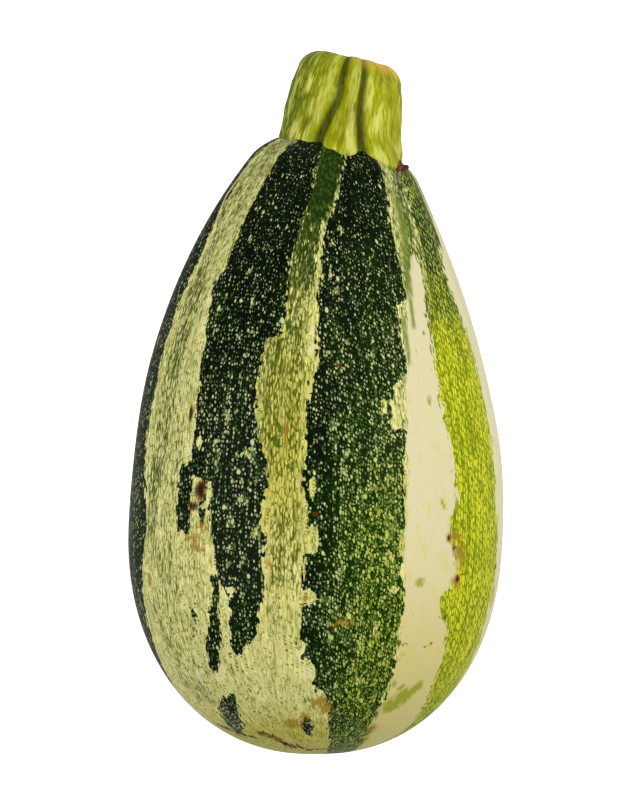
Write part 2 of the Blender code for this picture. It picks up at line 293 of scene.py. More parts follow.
# %% Dark stripes on the side that faces the table
HIDDEN_STRIPES = (
    ((8, 104, 116), (20, 100, 122), (45, 99, 124), (75, 101, 126), (100, 99, 123), (120, 101, 125),
     (140, 103, 127), (163, 104, 128)),
    ((14, 150, 162), (25, 146, 168), (50, 144, 170), (60, 148, 172), (85, 146, 171), (110, 143, 168),
     (125, 146, 172), (150, 148, 171), (163, 149, 170)),
    ((10, 232, 242), (22, 228, 246), (50, 226, 247), (80, 229, 250), (95, 225, 246), (120, 228, 247),
     (145, 230, 248), (163, 231, 246)),
)

# %% [markdown]
# Lime and cream stripes lie between the dark ones. A lush green stripe stands beside the middle dark one
# near the stem, and a pale seam runs down inside the left one.

# %% Lime, cream and lush stripes
LIME_STRIPES = (
    ((2, 66, 86), (9, 62, 80), (14.6, 56, 78.5), (20, 52, 77.7), (31, 50, 76), (36, 47, 73.5),
     (40, 42, 73.7), (44, 43, 74), (47, 46.5, 74.2), (52, 49, 74.5), (58, 45.3, 74), (63, 43.5, 73),
     (69, 47.3, 70), (79, 45.7, 70), (96, 43.3, 69), (106, 43.3, 68), (112, 44.5, 68.5), (117, 45.2, 66),
     (123, 45.7, 63.5), (128, 47.3, 62.5), (133, 49.7, 62.5), (139, 51, 66), (144, 52, 72), (150, 53, 76),
     (163, 52, 78)),
    ((6, 188, 206), (30, 188, 208), (60, 186, 209), (100, 189, 207), (130, 188, 210), (163, 190, 212)),
)
CREAM_STRIPES = (
    ((1, 44, 70), (9, 31, 64), (14.6, 29.5, 57), (42, 27.5, 49), (69, 27, 49), (90, 28.5, 46.5),
     (101, 30, 45), (106, 31, 45), (117, 32.5, 46.5), (123, 34.5, 47), (128, 37, 47.5), (136, 42, 46)),
    ((4, 79, 96), (20, 77, 97), (42, 73.5, 98), (63, 73.5, 97), (69, 70, 97), (106, 68, 98),
     (112, 68.5, 98), (117, 66, 98), (123, 63.5, 97), (128, 62.5, 97), (133, 62.5, 96), (139, 66, 95),
     (144, 73, 93), (148, 80, 90)),
    ((5, 178, 181), (12, 175, 184), (30, 173, 186), (60, 175, 184), (90, 174, 187), (120, 172, 185),
     (135, 175, 182)),
)
LUSH_STRIPES = (
    ((142, -8, -1), (146, -10.5, 2), (155, -10, 5), (163, -11, 8)),
)
PALE_SEAMS = (
    ((124, -60.5, -59.5), (133, -62.5, -61), (139, -63.5, -62), (147, -68.8, -67.2), (154, -67.6, -65.8),
     (159, -64, -62)),
)
# A stripe that ends higher than this runs on in under the stem.
UNDER_STEM = 160.0


def mm_inside(table, angle, station, radius):
    """mm that a point lies inside a stripe: to the nearer edge, an angle times the radius, or nearer end."""
    along, left, right = np.array(table, float).T
    middle = 0.5 * (left.mean() + right.mean())
    turned = apart(angle, middle) + middle
    per_degree = np.radians(1.0) * radius * MM
    to_left = (turned - np.interp(station, along, left)) * per_degree
    to_right = (np.interp(station, along, right) - turned) * per_degree
    to_ends = np.minimum(station - along[0], along[-1] - station)
    if along[-1] > UNDER_STEM:
        to_ends = station - along[0]
    return np.minimum(np.minimum(to_left, to_right), to_ends)


def stripes_field(tables, angle, station, radius):
    """The union of several stripes: at each point the deepest of them."""
    return np.max([mm_inside(table, angle, station, radius) for table in tables], axis=0)


# %% [markdown]
# Small things lie on the stripes: pale notches, scars and spots. Each is an oval given by its angle, its
# distance from the blossom end and its two half sizes in mm.

# %% Pale notches, scars and spots
PALE_NOTCHES = (
    (-1.4, 73, 1.2, 3.3), (-0.6, 59, 1.9, 4.0), (-1.5, 44.5, 2.2, 2.0), (23.9, 46, 1.7, 1.5),
    (21.9, 78.4, 0.9, 1.2), (13.6, 57, 0.7, 2.4), (15.6, 65.6, 0.7, 1.1), (6.9, 125, 0.6, 0.7),
    (6.2, 119, 1.2, 0.7), (7.5, 105.4, 0.6, 1.3), (24.5, 89.5, 1.6, 1.8), (-2.5, 25, 2.0, 2.8),
    (-4.5, 31, 1.0, 1.6), (2.5, 17.5, 1.6, 2.4), (-44.5, 119.5, 1.0, 1.6), (-43.6, 115.5, 0.7, 1.2),
    (-26, 46, 1.1, 1.3), (-38.5, 84, 0.8, 2.4), (-28, 95, 0.7, 1.5), (-17, 110, 1.0, 1.4),
    (-25, 100, 0.6, 0.8), (12, 90, 0.6, 0.9), (18, 38, 0.7, 1.0), (8, 82, 0.6, 0.8), (110, 60, 1.2, 2.5),
    (121, 92, 1.6, 1.6), (158, 80, 1.0, 2.0), (148, 40, 1.8, 1.8), (237, 66, 1.1, 2.2),
)
BROWN_SCARS = (
    (-37.3, 72.0, 1.9, 2.3), (-39.7, 67.7, 1.7, 1.3), (-43, 91.5, 0.8, 2.2), (43.5, 59.4, 0.6, 1.1),
    (46.3, 56.4, 1.0, 0.5), (49.8, 57.6, 0.6, 0.8), (48.6, 48.6, 0.9, 1.0), (45.5, 38.3, 0.5, 0.8),
    (7.4, 104.6, 0.5, 0.7), (-0.5, 66, 0.9, 0.45), (14.5, 52.8, 0.4, 0.7), (73.6, 50.7, 0.75, 0.9),
    (69, 141.5, 0.9, 2.8), (40.6, 114.5, 0.5, 0.6), (-17.5, 34.5, 0.4, 0.6), (13.2, 28.2, 0.4, 0.5),
    (133, 70, 0.9, 1.1), (196, 52, 0.8, 1.6),
)
TAN_SCARS = (
    (-39.5, 59.6, 2.0, 1.5), (-35.6, 62.6, 1.7, 1.5), (-37.5, 56.5, 2.4, 1.2), (46, 59.6, 2.7, 1.8),
    (48.4, 55.4, 2.1, 2.5), (50, 51.6, 1.3, 2.0), (48.4, 48, 2.0, 1.7), (8, 37.5, 2.4, 0.9),
    (-10, 86, 0.8, 3.0), (-14, 54, 0.8, 2.0), (30.6, 28.7, 1.2, 0.9), (1.5, 16.6, 2.0, 1.1),
    (4.4, 14.6, 1.8, 1.6), (-11, 10.4, 2.6, 1.2), (-5, 12.6, 1.2, 0.8), (-3.0, 44, 1.0, 1.0),
    (32.3, 8.4, 2.0, 1.1), (76.5, 43, 0.9, 3.4), (-62, 48, 1.0, 2.4),
)
CLUSTER_LEVEL = 0.2
CLUSTERS = (
    (6.5, 140.5, 1.2, 1.6), (3.1, 137, 1.0, 1.2), (3.5, 129, 0.8, 2.4), (5.8, 124.5, 1.2, 1.2),
    (4.8, 119, 1.3, 1.1), (9.6, 111.5, 1.1, 1.0), (18.2, 107.8, 1.2, 0.8), (19.3, 111.6, 0.8, 0.8),
    (6.5, 105.4, 0.8, 1.6), (7.3, 77.4, 0.8, 1.2), (8.8, 81.6, 1.4, 1.0), (18.2, 82.6, 0.9, 0.9),
    (-28.9, 90.3, 0.8, 1.8), (-18.4, 87, 1.4, 1.6), (-21.6, 81.6, 2.2, 1.8), (-31.8, 80, 0.9, 3.4),
    (-19.6, 74.7, 1.1, 1.5), (-22.9, 69.5, 1.9, 1.8), (-26.5, 63.1, 1.7, 1.3), (-18.4, 60.5, 1.8, 2.2),
    (-25.9, 57, 1.6, 1.1), (-27.5, 52.8, 1.2, 1.2), (2.8, 43.9, 2.0, 1.2), (10.2, 37.5, 2.4, 1.2),
    (17.9, 72.2, 1.0, 1.0), (22, 62, 1.8, 4.0), (22, 54, 1.6, 2.6), (19.7, 36.1, 1.6, 3.0),
    (4.8, 89.5, 1.2, 1.4), (21, 94, 1.0, 2.4), (-30, 128, 0.9, 1.0), (-26, 120, 0.8, 1.6),
    (-34, 136, 0.8, 1.0), (16, 22, 2.0, 1.6), (4, 34, 1.6, 2.0), (108, 84, 1.5, 1.5), (158, 60, 1.6, 1.4),
    (238, 100, 1.5, 1.6),
)
# Pale patches. The broad oval at 85 degrees is painted light that pales the right flank.
PALE_PATCHES_AND_LIMB_LIGHT = (
    (-44.5, 113.5, 1.0, 1.6), (-44.6, 119.5, 1.1, 2.6), (-2.4, 113.5, 0.9, 2.6), (-2.4, 108.5, 0.9, 3.0),
    (-19.5, 112, 1.6, 1.0), (-42.5, 82, 1.4, 2.0), (-41, 75.8, 0.9, 2.4), (-45.7, 28.4, 1.4, 2.6),
    (-48.4, 23, 1.4, 2.2), (-27.5, 43.4, 1.0, 4.0), (-4.5, 29, 1.4, 2.2), (-3, 24.5, 1.4, 2.0),
    (-55, 66, 0.8, 3.0), (-36, 24, 1.6, 3.0), (85, 75, 22, 90), (128, 70, 1.6, 4.0), (140, 40, 2.0, 5.0),
    (215, 60, 1.6, 5.0), (224, 110, 1.2, 4.0),
)
GREEN_SPOTS = (
    (32.8, 47.8, 1.35, 1.05), (36.6, 17.0, 1.6, 1.1), (47, 68, 0.5, 2.2), (38, 96, 0.5, 1.4),
    (88, 60, 1.2, 1.6),
)
BELL_FALL = 0.7


def ovals_field(ovals, angle, station, radius):
    """Mask of soft ovals: a bell curve of the distance from each middle, counted in half sizes."""
    mask = np.zeros_like(angle)
    for middle, along, half_across, half_along in ovals:
        across = apart(angle, middle) * np.radians(1.0) * radius * MM
        distance = (across / half_across) ** 2 + ((station - along) / half_along) ** 2
        mask = np.maximum(mask, np.exp(-BELL_FALL * distance))
    return mask


# %% [markdown]
# Scratches, thin streaks and the green veils that cross the cream stripe are straight lines between two
# places on the skin, each given by its angle and its distance from the blossom end. Last is a half width
# in mm.

# %% Scratches, streaks and veils
BROWN_SCRATCHES = (
    (-67, 9.2, -60, 7.8, 1.0), (-60, 7.9, -52, 7.0, 1.7), (-49, 6.4, -40, 5.6, 1.0),
    (-33, 7.3, -26, 6.0, 1.7), (-25, 5.6, -18, 3.4, 2.1), (-14, 3.4, -6, 2.2, 1.2), (-2, 2.6, 6, 2.6, 1.0),
    (68.8, 43.6, 66.4, 40.6, 0.5), (27.6, 31.5, 32, 31.3, 0.55), (37, 30.1, 42, 31.6, 0.3),
    (-5.9, 126.6, -3.0, 125.2, 0.35),
)
GREEN_STREAKS = (
    (33.4, 14.6, 38.5, 17.6, 2.4), (39.5, 17.8, 43.5, 19.8, 1.7), (39.6, 69.8, 41.8, 67.0, 0.35),
    (73.9, 64.6, 71.4, 56, 0.4), (30.4, 21.6, 31.4, 20.6, 0.6), (33.6, 19.4, 36, 20.6, 0.4),
)
GREEN_VEILS = (
    (43, 150, 41.5, 142, 2.0), (41.5, 142, 38.4, 134, 1.7), (38.4, 134, 36.6, 125, 1.2),
    (36.6, 125, 36.0, 116, 0.7), (31.8, 118, 31.6, 106, 0.7), (214, 120, 212, 96, 1.2),
)


def scratches_field(scratches, places):
    """Mask of straight lines: a bell curve of the distance from each line, counted in half widths."""
    mask = np.zeros(places.shape[:2])
    for first_angle, first_along, last_angle, last_along, half_width in scratches:
        along = np.array([[first_along, last_along]]) / MM
        ends = fruit_places(np.radians([[first_angle, last_angle]]), belly_curve(along), along)[0]
        line = ends[1] - ends[0]
        share = np.clip((places - ends[0]) @ line / (line @ line), 0.0, 1.0)
        distance = np.linalg.norm(places - ends[0] - share[..., None] * line, axis=-1) * MM
        mask = np.maximum(mask, np.exp(-BELL_FALL * (distance / half_width) ** 2))
    return mask


# %% [markdown]
# The pale skin between the stripes isn't one colour: green lines run close together at the stem end and
# beside the dark stripes, and thin out towards the blossom end. Each patch of them is a strength and a
# table.

# %% Greener patches of the pale skin
GREEN_PATCHES = (
    (0.6, ((58, -63, -57), (90, -61, -52), (119, -61, -50), (128, -63, -53.5), (134, -64, -54.5),
           (141, -66, -57), (146, -69, -58), (151, -74, -57.5), (163, -72, -54))),
    (1.0, ((133, -19, -2), (150, -18, -2), (163, -17, -1))),
    (0.82, ((124, -20, -3), (130, -19, -2), (136, -18, -2))),
    (0.58, ((98, -20, -5), (111, -20, -4), (126, -20, -3))),
    (0.52, ((76, -20, -4), (84, -18, -5), (106, -20, -4))),
    (0.5, ((46, -14, -5), (60, -14, -5), (80, -14, -6))),
    (0.85, ((126, 37, 39), (134, 38, 43), (140, 40, 47.6), (147, 40, 50), (155, 43, 51.6), (163, 43, 55))),
    (0.5, ((124, 33, 50), (140, 33, 52), (163, 33, 60))),
    (0.36, ((14, -62, -40), (30, -62, -44), (60, -62, -48), (90, -62, -44))),
    (0.6, ((128, 70, 100), (163, 70, 180))),
    (0.6, ((90, 128, 143), (163, 128, 145))),
    (0.6, ((95, 212, 226), (163, 212, 228))),
)
YELLOWED = (
    (-11, 86, 9.0, 34.0), (-24, 6, 30.0, 6.0), (30, 5, 26.0, 7.0), (24, 66, 5.0, 12.0),
    (160, 100, 12.0, 30.0), (220, 70, 9.0, 30.0),
)
PATCH_SOFTNESS = 2.0


def patches_field(patches, angle, station, radius):
    """How green the pale skin is, from 0 to 1: the strongest patch, each fading over some mm at its edge."""
    layers = []
    for strength, table in patches:
        inside = mm_inside(table, angle, station, radius)
        layers.append(strength * smooth(inside / PATCH_SOFTNESS + 0.5))
    return np.max(layers, axis=0)


# %% [markdown]
# From the tables come the skin's fields: one number per point, which the material reads by its name.
# Notches are cut out of the dark stripes, and where dots cluster the stripe is held at a thin level. A
# place on the skin goes with the fields, spread a little at both ends so that dots don't get too narrow.

# %% Fields on the skin
SPREAD_POWER = 0.2
NOTCH_START = 0.35
NOTCH_DEPTH = 9.0
station = height * MM
edge_radius = np.maximum(radius, 1e-4)
on_skin = (angle, station, edge_radius)
dark = stripes_field(DARK_STRIPES + HIDDEN_STRIPES, *on_skin)
notches = ovals_field(PALE_NOTCHES, *on_skin)
dark = dark - NOTCH_DEPTH * np.maximum(notches - NOTCH_START, 0.0)
clusters = smooth((ovals_field(CLUSTERS, *on_skin) - 0.3) / 0.4)
dark = np.where(dark > 0.0, dark * (1.0 - clusters) + CLUSTER_LEVEL * clusters, dark)
green_streaks = scratches_field(GREEN_STREAKS, upright_places)
degrees = np.degrees(angle)
base_green = np.interp(station, (0, 30, 60, 100, 130, 163), (0.06, 0.14, 0.25, 0.3, 0.42, 0.6))
patch_green = patches_field(GREEN_PATCHES, *on_skin)
right_of_middle = smooth((degrees + 6.0) / 26.0) * (np.abs(degrees) < 60.0)
towards_blossom = 0.3 * smooth((175.0 - station) / 60.0) + 0.7 * smooth((106.0 - station) / 50.0)
skin_fields = {
    "dark": dark,
    "lime": stripes_field(LIME_STRIPES, *on_skin),
    "cream": stripes_field(CREAM_STRIPES, *on_skin),
    "lush": stripes_field(LUSH_STRIPES, *on_skin),
    "seam": stripes_field(PALE_SEAMS, *on_skin),
    "brown": ovals_field(BROWN_SCARS, *on_skin),
    "scratches": scratches_field(BROWN_SCRATCHES, upright_places),
    "tan": ovals_field(TAN_SCARS, *on_skin),
    "green_spots": np.maximum(ovals_field(GREEN_SPOTS, *on_skin), green_streaks),
    "clusters": clusters,
    "veils": scratches_field(GREEN_VEILS, upright_places),
    "pale_patches_and_limb_light": ovals_field(PALE_PATCHES_AND_LIMB_LIGHT, *on_skin),
    "yellowed": ovals_field(YELLOWED, *on_skin),
    "green": np.maximum(np.maximum(base_green, patch_green), 0.5 * clusters),
    "greening": right_of_middle * towards_blossom,
    "stemward_share": np.interp(station, (0, 25, 60, 110, 163), (0.0, 0.1, 0.35, 0.75, 1.0)),
    "from_scar": radius * MM,
}
for name, values in skin_fields.items():
    add_field(skin, name, values)
spread = BELLY_RADIUS * (edge_radius / BELLY_RADIUS) ** SPREAD_POWER
add_place(skin, "skin_place", spread * np.sin(angle), -spread * np.cos(angle), run)
print("dark share", round(float((dark > 0).mean()), 3))

# %% [markdown]
# A material is a net of nodes. These helpers add a node, fill or link its inputs by name, and keep each
# material short enough to read: a step, a mix of two colours and a piece of arithmetic. A socket knows the
# net that it belongs to, so most helpers need only the sockets that they work on.

# %% Helpers for materials
def add_node(tree, kind, inputs=None, **settings):
    """Adds a node, sets its settings, then fills its inputs: a socket is linked and a value is set."""
    made = tree.nodes.new(kind)
    for name, value in settings.items():
        setattr(made, name, value)
    for key, value in (inputs or {}).items():
        if isinstance(value, bpy.types.NodeSocket):
            tree.links.new(value, made.inputs[key])
        else:
            made.inputs[key].default_value = value
    return made


def maths(operation, first, second=0.0, third=0.0, clamp=False):
    """One step of arithmetic on numbers, in the net of nodes that its first socket belongs to."""
    inputs = {0: first, 1: second, 2: third}
    tree = next(value.id_data for value in inputs.values() if isinstance(value, bpy.types.NodeSocket))
    return add_node(tree, "ShaderNodeMath", inputs, operation=operation, use_clamp=clamp).outputs[0]


def scaled(value, strength):
    """A value times a strength."""
    return maths("MULTIPLY", value, strength)


def times_plus(value, weight, base, clamp=False):
    """A value times a weight, added to a base."""
    return maths("MULTIPLY_ADD", value, weight, base, clamp)


def rest_of(share):
    """What a share leaves of 1."""
    return maths("SUBTRACT", 1.0, share)


def larger(first, second):
    """The larger of two values."""
    return maths("MAXIMUM", first, second)


def blend(share, first, second):
    """The first colour where share is 0 and the second where it is 1."""
    inputs = {0: share, 6: first, 7: second}
    return add_node(share.id_data, "ShaderNodeMix", inputs, data_type="RGBA").outputs[2]


def step(value, low, high):
    """A smooth step of a number from 0 at low to 1 at high."""
    inputs = {"Value": value, "From Min": low, "From Max": high}
    made = add_node(value.id_data, "ShaderNodeMapRange", inputs, interpolation_type="SMOOTHSTEP")
    return made.outputs["Result"]


def field(tree, name):
    """A number kept on the mesh's points."""
    return add_node(tree, "ShaderNodeAttribute", attribute_name=name).outputs["Fac"]


def place(tree, name):
    """A place kept on the mesh's points."""
    return add_node(tree, "ShaderNodeAttribute", attribute_name=name).outputs["Vector"]


def colour(red, green, blue):
    """A colour as a screen shows it, from 0 to 255, turned into the linear light that shaders work with."""
    shown = np.array([red, green, blue]) / 255.0
    linear = np.where(shown <= 0.04045, shown / 12.92, ((shown + 0.055) / 1.055) ** 2.4)
    return (*(float(v) for v in linear), 1.0)


# %% [markdown]
# A new material starts with a shader, and a bump node gives it a fine relief without more faces. A node
# group is a small net that several materials share, here with a place and a few numbers going in.

# %% Materials, relief and groups
def new_material(name):
    """A new material with its net of nodes and its shader."""
    material = bpy.data.materials.new(name)
    material.use_nodes = True
    return material, material.node_tree, material.node_tree.nodes["Principled BSDF"]


def add_relief(tree, shader, height, strength, distance):
    """A fine bump on the shader's normal, from a height that varies over the surface."""
    inputs = {"Height": height, "Strength": strength, "Distance": distance}
    bump = add_node(tree, "ShaderNodeBump", inputs)
    tree.links.new(bump.outputs["Normal"], shader.inputs["Normal"])


def new_group(name, numbers, results):
    """A shader node group that takes a place and named numbers, and puts out named numbers."""
    tree = bpy.data.node_groups.new(name, "ShaderNodeTree")
    tree.interface.new_socket("Place", in_out="INPUT", socket_type="NodeSocketVector")
    for label, value in numbers.items():
        socket = tree.interface.new_socket(label, in_out="INPUT", socket_type="NodeSocketFloat")
        socket.default_value = value
    for label in results:
        tree.interface.new_socket(label, in_out="OUTPUT", socket_type="NodeSocketFloat")
    return tree, tree.nodes.new("NodeGroupInput").outputs, tree.nodes.new("NodeGroupOutput").inputs


def use_group(tree, group, inputs):
    """Places a group in a material with its own values."""
    return add_node(tree, "ShaderNodeGroup", inputs, node_tree=group).outputs


def stretched(tree, given, rise):
    """The group's place counted in cells: sideways in steps of Across, and upwards in steps of Along."""
    parts = add_node(tree, "ShaderNodeSeparateXYZ", {0: given["Place"]}).outputs
    across = maths("DIVIDE", MM, given["Across"])
    along = maths("DIVIDE", MM, given["Along"])
    up = times_plus(parts[0], rise[0], parts[2])
    up = times_plus(parts[1], rise[1], up)
    counts = (scaled(parts[0], across), scaled(parts[1], across), scaled(up, along))
    return add_node(tree, "ShaderNodeCombineXYZ", dict(enumerate(counts))).outputs[0]


# %% [markdown]
# The skin is speckled cell by cell. Voronoi cells, stretched along the fruit, stand for the patches that
# the skin grew in: each has a random number, and the share of the way from its middle to its edge.
# Small shares drawn pale make dots on dark skin, and large shares drawn pale leave only a green net.
# The cells aren't scattered quite freely: they stand in files along the fruit, each file a little staggered
# against the next, as the real skin's dots do.

# %% Speckle group
EDGE_TO_FILL = 2.4
STAGGER = (0.38, 0.62)


def make_speckle_group():
    """Cells of a given size in mm: dots or whole cells that fill a share of each, and two random numbers."""
    numbers = {"Across": 1.6, "Along": 2.4, "Fill": 0.4, "Unevenness": 0.5, "Softness": 0.08,
               "Disorder": 0.75}
    tree, given, result = new_group("speckles", numbers, ("Dots", "Cells", "Cell", "Shade"))
    voronoi = {"Vector": stretched(tree, given, STAGGER), "Scale": 1.0, "Randomness": given["Disorder"]}
    near, far, edge = (add_node(tree, "ShaderNodeTexVoronoi", voronoi, feature=feature).outputs
                       for feature in ("F1", "F2", "DISTANCE_TO_EDGE"))
    chances = add_node(tree, "ShaderNodeSeparateColor", {0: near["Color"]}).outputs
    swing = scaled(times_plus(chances[0], 2.0, -1.0), given["Unevenness"])
    reach = times_plus(swing, given["Fill"], given["Fill"])
    low = maths("SUBTRACT", reach, given["Softness"])
    high = maths("ADD", reach, given["Softness"])
    outward = maths("DIVIDE", near["Distance"], far["Distance"])
    inward = rest_of(scaled(edge["Distance"], EDGE_TO_FILL))
    tree.links.new(rest_of(step(outward, low, high)), result["Dots"])
    tree.links.new(rest_of(step(inward, low, high)), result["Cells"])
    tree.links.new(chances[1], result["Cell"])
    tree.links.new(chances[2], result["Shade"])
    return tree


speckles = make_speckle_group()


def speckled(where, across, along, **given):
    """The speckles at a place: cells of a size in mm, and the group's other inputs by their names."""
    inputs = {"Place": where, "Across": across, "Along": along}
    inputs.update({name.capitalize(): value for name, value in given.items()})
    return use_group(where.id_data, speckles, inputs)


# %% [markdown]
# Long soft streaks, blotches and the wobble of edges all come from one noise, stretched along the growth.

# %% Streak group
def make_streak_group():
    """Noise in a place measured in mm: its grain across and along is given, and it swings from -1 to 1."""
    tree, given, result = new_group("streaks", {"Across": 1.0, "Along": 4.0, "Detail": 2.0}, ("Swing",))
    inputs = {"Vector": stretched(tree, given, (0.0, 0.0)), "Scale": 1.0, "Detail": given["Detail"]}
    noise = add_node(tree, "ShaderNodeTexNoise", inputs)
    swing = times_plus(noise.outputs["Fac"], 4.0, -2.0)
    tree.links.new(larger(maths("MINIMUM", swing, 1.0), -1.0), result["Swing"])
    return tree


streaks = make_streak_group()


def streak(where, across, along, detail=2.0):
    """The streaks' noise at a place, with its grain across and along in mm."""
    inputs = {"Place": where, "Across": across, "Along": along, "Detail": detail}
    return use_group(where.id_data, streaks, inputs)["Swing"]


# %% [markdown]
# The skin's material lays its colours over each other as the fruit does: a pale mottled ground, cream and
# lime stripes, dark stripes with dots, then spots and scars. Every edge is shifted by a random step per
# cell, so it breaks into the small teeth that the real skin has. All layers share one place on the skin and
# a few noises. The weights, and the two ends of each step, were set against the picture.

# %% The skin's grain
def make_grain(tree):
    """The place on the skin, the noises that all layers share, and how far towards the stem each point lies.
    """
    where = place(tree, "skin_place")
    grain = SimpleNamespace(where=where, stemward=field(tree, "stemward_share"))
    grain.teeth = speckled(where, 1.0, 1.6)
    grain.wobble = streak(where, 2.2, 5.0)
    grain.blotch = streak(where, 5.0, 12.0)
    grain.fine = streak(where, 0.55, 2.4, 1.0)
    grain.rows = streak(where, 1.1, 26.0)
    grain.files = step(times_plus(grain.fine, 0.5, grain.rows), 0.15, 0.8)
    return grain


def ragged(grain, mm_field, cells, tooth, soft):
    """A stripe's mask: its field in mm plus a step per cell and a wobble, cut off at zero."""
    shifted = times_plus(maths("SUBTRACT", grain.teeth[cells], 0.5), tooth, mm_field)
    return step(times_plus(grain.wobble, 0.45 * tooth, shifted), -soft, soft)


def uneven(mask, slow, quick):
    """A mask made stronger and weaker by two noises, so that it stays empty where it was empty."""
    return scaled(mask, times_plus(quick, 0.35, times_plus(slow, 0.35, 1.0)))


# %% [markdown]
# The pale ground is netted. Its long cells leave green lines between them, which run together into dashes
# and files where the skin is greener, and keep only small beads where it is pale. The rims beside the dark
# stripes are paler here and there.

# %% Pale ground
PALE_CELL = colour(232, 226, 150)
PALE_CELL_YELLOW = colour(204, 192, 82)
PALE_RIBBON = colour(226, 220, 160)
PALE_LINE = colour(94, 110, 8)
PALE_LINE_GREEN = colour(38, 60, 0)


def how_green(tree, grain, patch):
    """How green: its field, blotched, less in pale patches, painted flank light and the rims of dark
    stripes.
    """
    green = times_plus(grain.blotch, 0.18, field(tree, "green"))
    green = times_plus(patch, -0.5, green)
    near_dark = times_plus(grain.wobble, 1.6, field(tree, "dark"))
    rim = scaled(step(near_dark, -1.5, -0.7), step(grain.blotch, -0.1, 0.3))
    return times_plus(rim, -0.3, green, clamp=True)


def green_lines(grain, green, net):
    """Where green lines lie: the strongest of the net's gaps, dashes, files along the fruit and beads."""
    strength = times_plus(grain.fine, 0.45, times_plus(green, 0.7, 0.45), clamp=True)
    lines = scaled(rest_of(net["Cells"]), strength)
    dashes = times_plus(green, 1.1, maths("SUBTRACT", grain.fine, 0.72))
    lines = larger(lines, scaled(step(dashes, 0.0, 0.3), 0.9))
    lines = larger(lines, scaled(grain.files, times_plus(green, 0.5, 0.4)))
    beads = speckled(grain.where, 1.5, 0.9, fill=0.3, unevenness=0.6, softness=0.12, disorder=0.5)
    beaded = step(times_plus(grain.wobble, 0.3, rest_of(green)), 0.3, 1.1)
    return larger(lines, scaled(beads["Dots"], beaded))


def pale_ground(tree, grain, patch):
    """Pale long cells, some yellowed and some in brighter ribbons, netted with green lines."""
    green = how_green(tree, grain, patch)
    net = speckled(grain.where, 0.74, 2.6, fill=times_plus(green, -0.56, 0.96),
                   unevenness=0.2, softness=0.1, disorder=0.8)
    ribbons = step(streak(grain.where, 2.4, 14.0, 3.0), 0.0, 0.9)
    pale = blend(field(tree, "yellowed"), PALE_CELL, PALE_CELL_YELLOW)
    pale = blend(scaled(ribbons, 0.4), pale, PALE_RIBBON)
    pale = blend(scaled(net["Cell"], 0.3), pale, PALE_LINE)
    line = blend(step(green, 0.15, 0.9), PALE_LINE, PALE_LINE_GREEN)
    return blend(green_lines(grain, green, net), pale, line)


# %% [markdown]
# Cream stripes have no net. They are faintly clouded, more so towards the blossom end, and carry a few
# flecks. Green veils cross them at the stem end, and white patches lie on cream and ground. One broad
# pale patch on the right flank is painted light.

# %% Cream stripes, veils, white patches and painted light on the right flank
CREAM_BODY = colour(211, 202, 160)
CREAM_BODY_LOW = colour(206, 192, 124)
CREAM_SHADE = colour(206, 196, 112)
CREAM_FLECK = colour(186, 152, 84)
VEIL_GREEN = colour(104, 124, 38)
# The white of pale patches, and of the painted light on the right flank.
PATCH_AND_LIMB_WHITE = colour(224, 220, 182)


def lay_cream(tree, grain, under, patch):
    """Cream stripes over what is under them, with clouds and flecks, then veils, white patches and painted
    flank light.
    """
    # The cream is darker and yellower towards the blossom end, and more clouded there.
    body = blend(step(grain.stemward, 0.0, 0.4), CREAM_BODY_LOW, CREAM_BODY)
    blossomward = maths("SUBTRACT", 0.75, grain.stemward)
    clouds = maths("ADD", streak(grain.where, 2.6, 5.5, 3.0), blossomward)
    body = blend(scaled(step(clouds, 0.3, 1.4), 0.75), body, CREAM_SHADE)
    flecks = speckled(grain.where, 2.1, 3.0, fill=0.07, unevenness=1.5, softness=0.03)
    body = blend(scaled(flecks["Dots"], 0.6), body, CREAM_FLECK)
    edge = times_plus(grain.wobble, 0.8, field(tree, "cream"))
    over = blend(step(edge, -0.5, 0.6), under, body)
    veil = step(uneven(field(tree, "veils"), grain.rows, grain.fine), 0.05, 1.1)
    over = blend(scaled(veil, 0.9), over, VEIL_GREEN)
    # White patches, and painted light that pales the right flank.
    return blend(scaled(patch, 0.55), over, PATCH_AND_LIMB_WHITE)


# %% [markdown]
# Lime stripes are close-set bright cells with olive lines, duller towards the stem. A lush stripe is plain
# deep green with a few dashes.

# %% Lime and lush stripes
LIME_CELL = colour(226, 224, 50)
LIME_CELL_TOP = colour(186, 196, 92)
LIME_LINE = colour(110, 128, 0)
LIME_LINE_LOW = colour(54, 92, 8)
LIME_LINE_TOP = colour(38, 58, 12)
LUSH_BODY = colour(22, 46, 4)
LUSH_DASH = colour(92, 116, 28)


def lay_lime(tree, grain, under):
    """Lime stripes of cells and lines, then the lush stripe, each with its ragged edge."""
    top = step(times_plus(grain.blotch, 0.05, grain.stemward), 0.72, 0.9)
    cells = speckled(grain.where, 0.68, 2.3, fill=times_plus(top, -0.22, 0.7),
                     unevenness=0.25, softness=0.26, disorder=0.65)
    line = blend(top, LIME_LINE, LIME_LINE_TOP)
    line = blend(step(grain.stemward, 0.1, 0.0), line, LIME_LINE_LOW)
    cell = blend(top, LIME_CELL, LIME_CELL_TOP)
    cell = blend(scaled(cells["Cell"], 0.35), cell, line)
    in_cell = times_plus(grain.files, -0.7, cells["Cells"], clamp=True)
    edge = times_plus(grain.fine, 0.5, times_plus(grain.rows, 0.8, field(tree, "lime")))
    mask = ragged(grain, edge, "Shade", 2.2, 0.3)
    over = blend(mask, under, blend(in_cell, line, cell))
    lush = blend(scaled(cells["Dots"], 0.45), LUSH_BODY, LUSH_DASH)
    return blend(ragged(grain, field(tree, "lush"), "Cell", 2.4, 0.8), over, lush)


# %% [markdown]
# Dark stripes are almost black at the stem, and the one right of the middle turns greener towards the
# blossom end. Their dots grow into a net of cells in the greener parts and in clusters, and get smaller
# beside the stem. A few larger and brighter dots are strewn over them.

